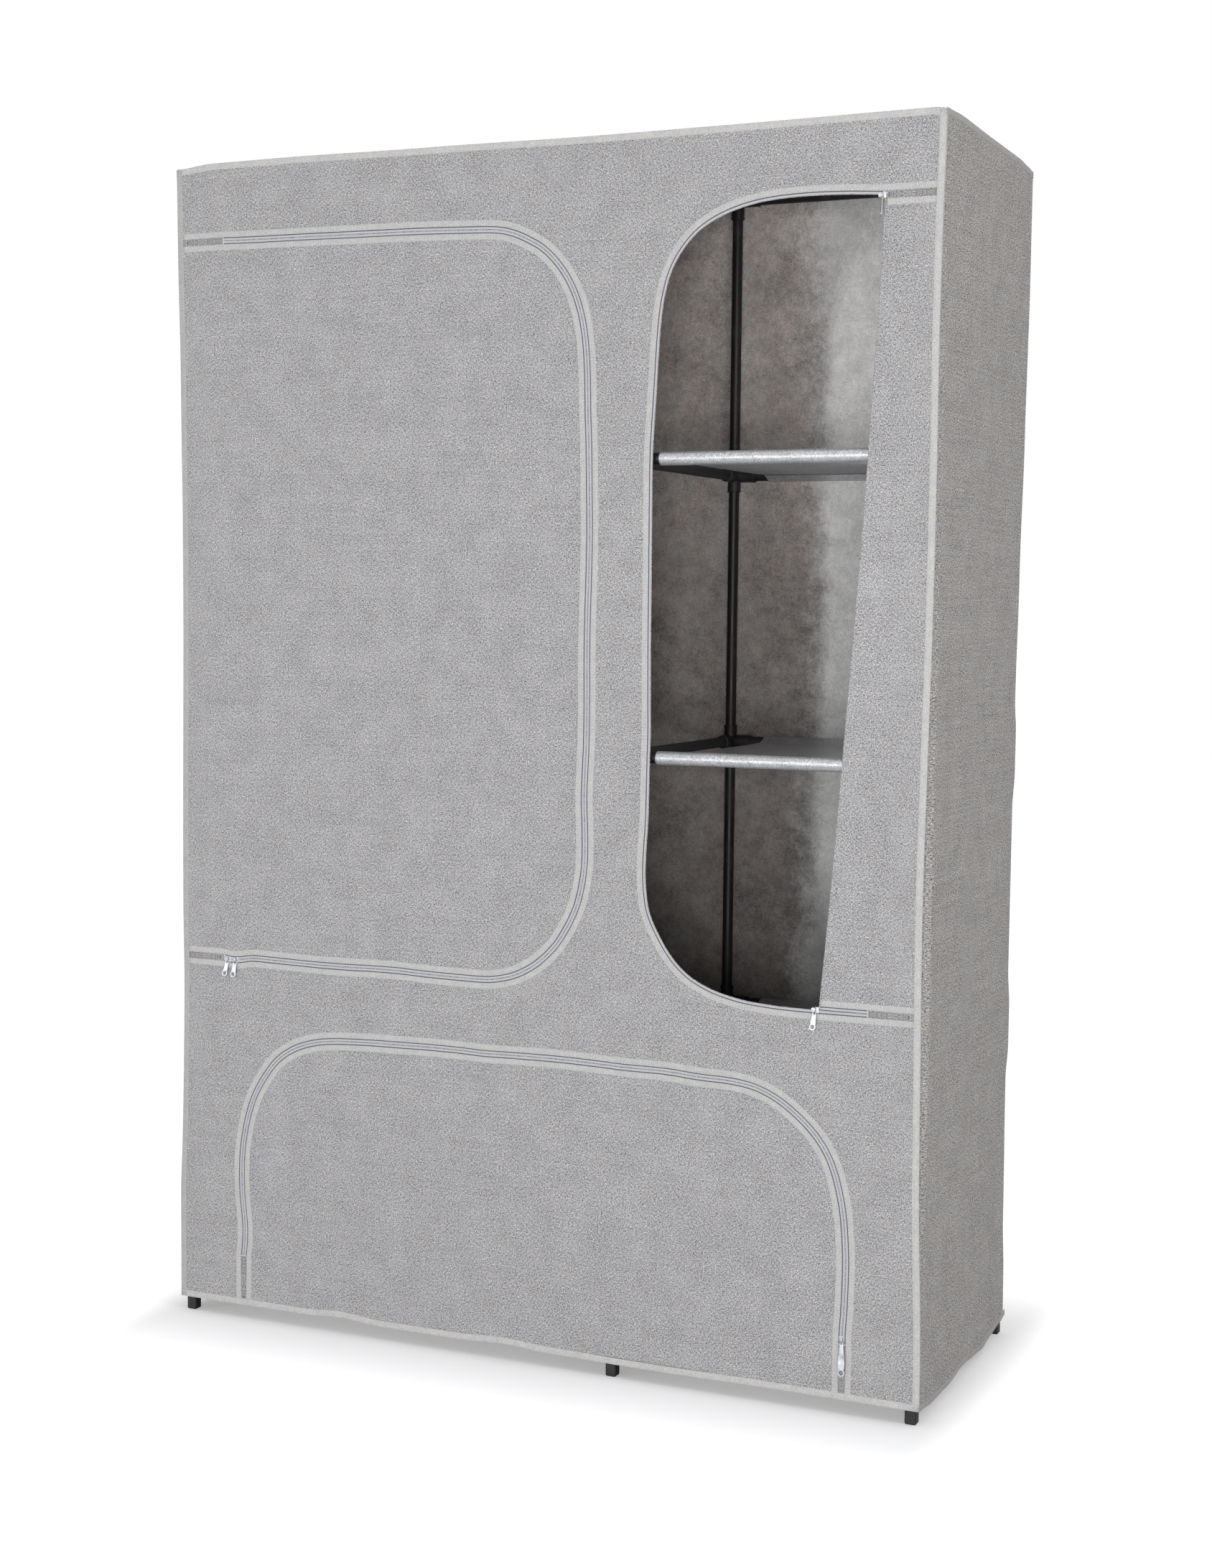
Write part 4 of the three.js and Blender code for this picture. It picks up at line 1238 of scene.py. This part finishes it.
# shelves: one cloth each, with a sewn sleeve round its front tube and one round its rear tube
shelf = {"sleeve": 0.0091, "seam": 0.026, "sag": 0.0026, "cloth": 0.0008, "length": 44}


# the cloth comes off its tube on both sides and is sewn to itself level with the tube's middle
def shelfPath(level):
    radius, seam = shelf["sleeve"], shelf["seam"]
    touch = math.acos(radius / seam)
    points = [(-tubeRow + seam - 0.004 * step, level - 0.0006 - 0.0004 * step) for step in range(2)]
    for step in range(31):
        angle = -touch - (2 * math.pi - 2 * touch) * step / 30
        points.append((-tubeRow + radius * math.cos(angle), level + radius * math.sin(angle)))
    points += [(-tubeRow + seam - 0.004 * step, level + 0.0006 + 0.0004 * step) for step in (1, 0)]
    rear = [(-y, z) for y, z in reversed(points)]
    points += [(-tubeRow + seam + 2 * (tubeRow - seam) * step / 38, level + 0.0006) for step in range(1, 38)]
    return points + rear


def makeShelf(node, seed):
    low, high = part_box(node)
    level = (low.z + high.z) / 2
    section = shelfPath(level)
    lengths = [0.0]
    for a, b in zip(section, section[1:]):
        lengths.append(lengths[-1] + math.dist(a, b))

    def place(share, up):
        row = round(up * (len(section) - 1))
        x = low.x + (high.x - low.x) * share
        y, z = section[row]
        inner = smooth(0.205 - abs(y), 0.0, 0.06)
        ends = 0.35 + 0.65 * smooth(min(share, 1 - share), 0.0, 0.25)
        soft = noise.noise(Vector((x * 9, y * 7, seed))) + 0.4 * noise.noise(Vector((x * 24, y * 30, seed + 3)))
        z -= inner * ends * (shelf["sag"] - 0.0014 * soft)
        if inner == 0.0:
            crease = 0.0003 * noise.noise(Vector((x * 34, row * 0.12, seed + 8)))
            away = (Vector((0, y, z)) - Vector((0, math.copysign(tubeRow, y), level))).normalized()
            y, z = y + away.y * crease, z + away.z * crease
        return Vector((x, y, z)), (x, lengths[row])

    def broadest(faces):
        return max(faces, key=lambda face: face.calc_area() * (abs(face.calc_center_median().y) < 0.1))

    bm = gridCloth(shelf["length"], len(section) - 1, place, (0, 0, 1), broadest)
    piece = makePiece(node + "_cloth", bm, [shelfSilver, shelfReverseShaded])
    thicken(piece, shelf["cloth"], 0.0, 1)
    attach(piece, "wardrobe")
    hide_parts(node)


for number, node in enumerate(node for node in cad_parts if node.startswith("shelf_")):
    makeShelf(node, 5.0 + 11 * number)
print("shelves stretched over their tubes")

# frame: powder-coated tubes pushed into moulded connectors
tubes = {"radius": 0.008, "steps": 28, "rim": 0.0006, "foot": 0.030, "post": 1.70}
rail = {"start": -0.569, "length": 0.693, "clip": 0.013}
moulded = {"body": 0.0099, "rim": 0.0104, "rimWidth": 0.0028, "steps": 30, "arm": 0.035, "half": 0.025}
footCap = {"size": (0.0165, 0.0165, 0.044), "corner": (0.003, 4), "top": (0.0011, 3), "bottom": (0.0025, 4)}
levels = {"base": 0.062, "low": 0.4765, "middle": 0.891, "upper": 1.3055, "top": 1.728}
alongX = Matrix.Rotation(math.pi / 2, 4, "Y")
alongY = Matrix.Rotation(-math.pi / 2, 4, "X")
flip = Matrix.Rotation(math.pi, 4, "X")


def turned(bm, profile, place, turn=None, steps=tubes["steps"], material=0):
    verts = [bm.verts.new((radius, 0, height)) for radius, height in profile]
    edges = [bm.edges.new(pair) for pair in zip(verts, verts[1:])]
    bmesh.ops.spin(
        bm, geom=verts + edges, cent=(0, 0, 0), axis=(0, 0, 1), angle=2 * math.pi, steps=steps, use_merge=True
    )
    grown, stack = set(verts), list(verts)
    while stack:
        vert = stack.pop()
        fresh = {edge.other_vert(vert) for edge in vert.link_edges} - grown
        grown |= fresh
        stack += fresh
    for face in {face for vert in grown for face in vert.link_faces}:
        face.material_index = material
    matrix = Matrix.Translation(place) @ (turn or Matrix.Identity(4))
    bmesh.ops.transform(bm, matrix=matrix, verts=list(grown))


def addMoulded(bm, profile, place, turn=None):
    turned(bm, profile, place, turn, moulded["steps"], 1)


def rounded(bm, edges, offset, segments):
    bmesh.ops.bevel(
        bm, geom=edges, offset=offset, offset_type="OFFSET", segments=segments,
        profile=0.5, affect="EDGES", material=-1,
    )


def barProfile(radius, length):
    rim = tubes["rim"]
    start = [(0, 0), (radius - rim, 0), (radius, rim)]
    return start + [(across, length - along) for across, along in reversed(start)]


def sleeveProfile(start, end, closed=False):
    body, rim, wide = moulded["body"], moulded["rim"], moulded["rimWidth"]
    shape = [
        (tubes["radius"] - 0.0002, start), (rim - 0.0004, start), (rim, start + 0.0004),
        (rim, start + wide), (body, start + wide + 0.0005), (body, end - wide - 0.0005),
        (rim, end - wide), (rim, end - 0.0004), (rim - 0.0004, end),
    ]
    return shape + [(0, end) if closed else (tubes["radius"] - 0.0002, end)]


def armProfile(length):
    body, rim, wide = moulded["body"], moulded["rim"], moulded["rimWidth"]
    return [
        (0, 0), (body - 0.0001, 0), (body, length - wide - 0.0006), (rim, length - wide),
        (rim, length - 0.0004), (rim - 0.0004, length), (tubes["radius"] - 0.0002, length),
    ]


def framePiece(name, bm, node, materials):
    bmesh.ops.remove_doubles(bm, verts=bm.verts, dist=1e-6)
    bmesh.ops.recalc_face_normals(bm, faces=bm.faces)
    piece = makePiece(name, bm, materials)
    crisp = piece.modifiers.new("evenShade", "WEIGHTED_NORMAL")
    crisp.weight = 60
    for edge in piece.data.edges:
        edge.use_edge_sharp = False
    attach(piece, "wardrobe")
    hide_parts(node)
    return piece


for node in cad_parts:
    if node.startswith(("depth_tube", "width_tube")):
        low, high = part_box(node)
        size, start = high - low, (low + high) / 2
        axis = 0 if size.x > size.y else 1
        start[axis] = low[axis]
        bm, uv = newBmesh()
        turned(bm, barProfile(tubes["radius"], size[axis]), start, (alongX, alongY)[axis])
        framePiece(node + "_bar", bm, node, [tubeCoat])


def addFootCap(bm, x, y):
    half = footCap["size"][2] / 2
    cap = bmesh.ops.create_cube(bm, size=1.0)["verts"]
    bmesh.ops.scale(bm, vec=footCap["size"], verts=cap)

    def near(vert, reach):
        return abs(vert.co.x) < reach and abs(vert.co.y) < reach

    def slope(edge):
        return abs(edge.verts[0].co.z - edge.verts[1].co.z)

    edges = {edge for vert in cap for edge in vert.link_edges}
    rounded(bm, [edge for edge in edges if slope(edge) > 0.01], *footCap["corner"])
    ends = {vert for vert in bm.verts if near(vert, 0.02) and abs(abs(vert.co.z) - half) < 1e-6}
    rims = [edge for edge in bm.edges if ends.issuperset(edge.verts) and len(edge.link_faces) == 2]
    rims = [edge for edge in rims if slope(edge) < 1e-6]
    rounded(bm, [edge for edge in rims if edge.verts[0].co.z > 0], *footCap["top"])
    rounded(bm, [edge for edge in rims if edge.is_valid and edge.verts[0].co.z < 0], *footCap["bottom"])
    cap = [vert for vert in bm.verts if near(vert, 0.0084) and abs(vert.co.z) < half + 0.0001]
    for face in {face for vert in cap for face in vert.link_faces}:
        face.material_index = 1
    bmesh.ops.translate(bm, vec=(x, y, half), verts=cap)


# each post's connectors: the sides that their arms along the width point to
arms = {
    "left": {"base": (1,), "low": (1,), "top": (1,)},
    "middle": {"base": (-1, 1), "low": (-1, 1), "middle": (1,), "upper": (1,), "top": (-1, 1)},
    "right": {"base": (-1,), "low": (-1,), "middle": (-1,), "upper": (-1,), "top": (-1,)},
}
arm = armProfile(moulded["arm"])
for sideName, places in arms.items():
    for row, inward in (("front", 1), ("rear", -1)):
        node = f"post_{sideName}_{row}"
        x, y = posts[sideName], -tubeRow * inward
        bm, uv = newBmesh()
        turned(bm, barProfile(tubes["radius"], tubes["post"]), Vector((x, y, tubes["foot"])))
        for level, z in levels.items():
            place = Vector((x, y, z))
            ends = (-0.028, 0.01035, True) if level == "top" else (-moulded["half"], moulded["half"])
            addMoulded(bm, sleeveProfile(*ends), place)
            if level in places:
                addMoulded(bm, arm, place, alongY if inward > 0 else alongY @ flip)
            for sign in places.get(level, ()):
                addMoulded(bm, arm, place, alongX if sign > 0 else alongX @ flip)
        addFootCap(bm, x, y)
        framePiece(node + "_upright", bm, node, [tubeCoat, connectorPlastic])

# hanging rail with a saddle clip over the depth tube at each end
bm, uv = newBmesh()
turned(bm, barProfile(tubes["radius"], rail["length"]), Vector((rail["start"], 0, levels["top"])), alongX)
for x, turn in ((posts["left"], alongX), (posts["middle"], alongX @ flip)):
    place = Vector((x, 0, levels["top"]))
    addMoulded(bm, sleeveProfile(-rail["clip"], rail["clip"]), place, alongY)
    addMoulded(bm, arm, place, turn)
framePiece("hanging_rail_bar", bm, "hanging_rail", [tubeCoat, connectorPlastic])
print("frame assembled")

# zip sliders: a shield-shaped plate with rounded rims and a strap bridge,
# and each pull hangs by its eye from the bridge
metal = {
    "plateBack": -0.2307,
    "plate": 0.0012,
    "length": 0.011,
    "shoulder": 0.0085,
    "tail": 0.0056,
    "bridge": (0.0031, 0.0022, 0.0024, 0.0008),
    "pull": 0.0010,
    "ring": 0.0046,
    "ringHole": 0.0029,
    "eye": (0.0017, 0.0038),
}
# place: x and z of the slider, lean: to the left, swing: away from the cloth, turn: about its own length
zipEnds = {
    "left_end": {"place": (-0.5065, 0.558), "length": 0.0245, "lean": 10, "swing": 9, "turn": 0},
    "left_lead": {"place": (-0.4925, 0.558), "length": 0.0250, "lean": 6, "swing": 10, "turn": 4},
    "right_top": {"place": (0.511, 1.642), "length": 0.027, "lean": 2, "swing": 3, "turn": -64},
    "right_bottom": {"place": (0.438, 0.558), "length": 0.0260, "lean": 5, "swing": 9, "turn": 0},
    "bottom": {"place": (0.485, 0.1065), "length": 0.0485, "lean": -1, "swing": 4, "turn": 0},
}


def oval(x, z, wide, tall, steps=20):
    return [
        (x + wide * math.cos(2 * math.pi * step / steps), z + tall * math.sin(2 * math.pi * step / steps))
        for step in range(steps)
    ]


# a flat plate cut to an outline with holes, its rims rounded; "dish" is an outline pressed into its face
def metalPlate(bm, outline, holes, front, thickness, rim, dish=None):
    first = set(bm.verts)
    loops = [outline, *holes] + ([dish] if dish else [])
    edges = []
    for loop in loops:
        verts = [bm.verts.new((x, front, z)) for x, z in loop]
        edges += [bm.edges.new(pair) for pair in zip(verts, verts[1:] + verts[:1])]
    filled = bmesh.ops.triangle_fill(bm, use_beauty=True, use_dissolve=False, edges=edges)["geom"]
    faces = [item for item in filled if isinstance(item, bmesh.types.BMFace)]
    dishFace = bm.faces.new(verts) if dish else None
    if dishFace:
        faces.append(dishFace)
    bmesh.ops.recalc_face_normals(bm, faces=faces)
    if sum(face.normal.y for face in faces) > 0:
        bmesh.ops.reverse_faces(bm, faces=faces)
    made = bmesh.ops.solidify(bm, geom=faces, thickness=thickness)["geom"]
    if dishFace and dishFace.is_valid:
        deep = bmesh.ops.extrude_face_region(bm, geom=[dishFace])["geom"]
        sunk = [item for item in deep if isinstance(item, bmesh.types.BMVert)]
        bmesh.ops.delete(bm, geom=[dishFace], context="FACES_ONLY")
        bmesh.ops.translate(bm, vec=(0, thickness * 0.35, 0), verts=sunk)
        middle = sum((vert.co for vert in sunk), Vector()) / len(sunk)
        bmesh.ops.scale(bm, vec=(0.88, 1, 0.92), space=Matrix.Translation(-middle), verts=sunk)
    verts = [vert for vert in bm.verts if vert not in first]
    bmesh.ops.translate(bm, vec=(0, front - min(vert.co.y for vert in verts), 0), verts=verts)
    bm.normal_update()
    edges = {edge for vert in verts for edge in vert.link_edges}
    rims = [edge for edge in edges if len(edge.link_faces) == 2 and edge.calc_face_angle() > 1.0]
    rounded(bm, [edge for edge in rims if abs(edge.verts[0].co.y - edge.verts[1].co.y) < 1e-6], rim, 2)
    return [vert for vert in bm.verts if vert not in first]


def sliderOutline(upright):
    half, shoulder, tail, corner = metal["length"] / 2, metal["shoulder"] / 2, metal["tail"] / 2, 0.0012
    right = [(-half, 0), (-half, tail - corner)]
    bends = [(corner * (1 - math.cos(a)), corner * (1 - math.sin(a))) for a in (0.5, 1.05, 1.5)]
    right += [(-half + along, tail - across) for along, across in bends]
    right += [(-0.0018, tail + 0.0004), (0.0004, shoulder - 0.0001)]
    right += [(half - along, shoulder - across) for along, across in reversed(bends)]
    right += [(half, shoulder - corner)]
    loop = right + [(along, -across) for along, across in reversed(right[1:])]
    return [(across, along) if upright else (along, across) for along, across in loop]


def makeSlider(name, place, upright):
    bm, uv = newBmesh()
    front = metal["plateBack"] - metal["plate"]
    metalPlate(bm, sliderOutline(upright), [], front, metal["plate"], 0.0003)
    inner = [(x * 0.62, z * 0.62) for x, z in sliderOutline(upright)]
    metalPlate(bm, inner, [], front - 0.0003, 0.0006, 0.0002)
    reach, rise, wide, strap = metal["bridge"]
    stations = []
    for step in range(19):
        angle = math.pi * step / 18
        along, height = math.cos(angle), math.sin(angle)
        z = -reach * math.copysign(abs(along) ** 0.62, along)
        y = front + 0.0003 - (rise + 0.0003) * abs(height) ** 0.62
        stations.append(Vector((0, y, z)))
    path = []
    for index, point in enumerate(stations):
        before, after = stations[max(0, index - 1)], stations[min(len(stations) - 1, index + 1)]
        along = (after - before).normalized()
        path.append((point, Vector((1, 0, 0)), along.cross(Vector((1, 0, 0))) * -1))
    a, b, corner = wide / 2, strap / 2, 0.0003
    ring = [
        (-a, -b * 0.4), (-a, b * 0.4), (-a + corner, b), (a - corner, b),
        (a, b * 0.4), (a, -b * 0.4), (a - corner, -b), (-a + corner, -b),
    ]
    addStrip(bm, path, ring, 0)
    bmesh.ops.translate(bm, vec=(place[0], 0, place[1]), verts=bm.verts)
    finishMetal(bm, f"zip_slider_{name}", f"slider_{name}")


def pullOutline(length):
    ring, drop = metal["ring"], length - metal["ring"]
    if length > 0.04:
        ring, drop = 0.0051, length - 0.0051
        sides = [(0.0024, -0.0010), (0.0028, -0.0050), (0.0031, -0.0110), (0.0038, -0.0180), (0.0046, -0.0250)]
        sides += [(0.0049, -0.0300), (0.0047, -0.0345), (0.0041, -0.0380)]
    else:
        sides = [(0.0025, -0.0010), (0.0029, -0.0045), (0.0031, -0.0090), (0.0034, -0.0130), (0.0037, -0.0165)]
    right = [(0.0, 0.0012), (0.0011, 0.0010), (0.0020, 0.0003), *sides]
    start, stop = math.radians(42), math.radians(-90)
    for step in range(13):
        angle = start + (stop - start) * step / 12
        right.append((ring * math.cos(angle), -drop + ring * math.sin(angle)))
    return right + [(-x, z) for x, z in reversed(right[1:-1])], drop


def makePull(name, spec):
    bm, uv = newBmesh()
    outline, drop = pullOutline(spec["length"])
    wide, tall = metal["eye"]
    bar = 0.0006
    eye = [(0.75, 0), (1, 0.0005), (0.85, tall - 0.0008), (0.45, tall)]
    eye = [(wide * share, -bar - down) for share, down in eye]
    eye = [(-eye[0][0], eye[0][1]), *eye, *[(-x, z) for x, z in reversed(eye[1:])]]
    long = spec["length"] > 0.04
    radius = 0.0033 if long else metal["ringHole"]
    hole = oval(0, -drop, radius, radius)
    dish = oval(0.0002, -0.0262, 0.0030, 0.0046) if long else None
    metalPlate(bm, outline, [eye, hole], -metal["pull"] / 2, metal["pull"], 0.00024, dish)
    pivot = Vector((spec["place"][0], -0.2328, spec["place"][1] - 0.0017))
    matrix = Matrix.Translation(pivot)
    for angle, axis in ((spec["lean"], "Y"), (-spec["swing"], "X"), (spec["turn"], "Z")):
        matrix = matrix @ Matrix.Rotation(math.radians(angle), 4, axis)
    bmesh.ops.transform(bm, matrix=matrix, verts=bm.verts)
    finishMetal(bm, f"zip_pull_{name}", f"pull_{name}")


def finishMetal(bm, name, node):
    bmesh.ops.recalc_face_normals(bm, faces=bm.faces)
    piece = makePiece(name, bm, [zipMetal])
    even = piece.modifiers.new("evenShade", "WEIGHTED_NORMAL")
    even.weight = 80
    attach(piece, node)
    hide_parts(node)


for name, spec in zipEnds.items():
    makeSlider(name, spec["place"], name == "bottom")
    makePull(name, spec)
print("zip sliders and pulls hung")
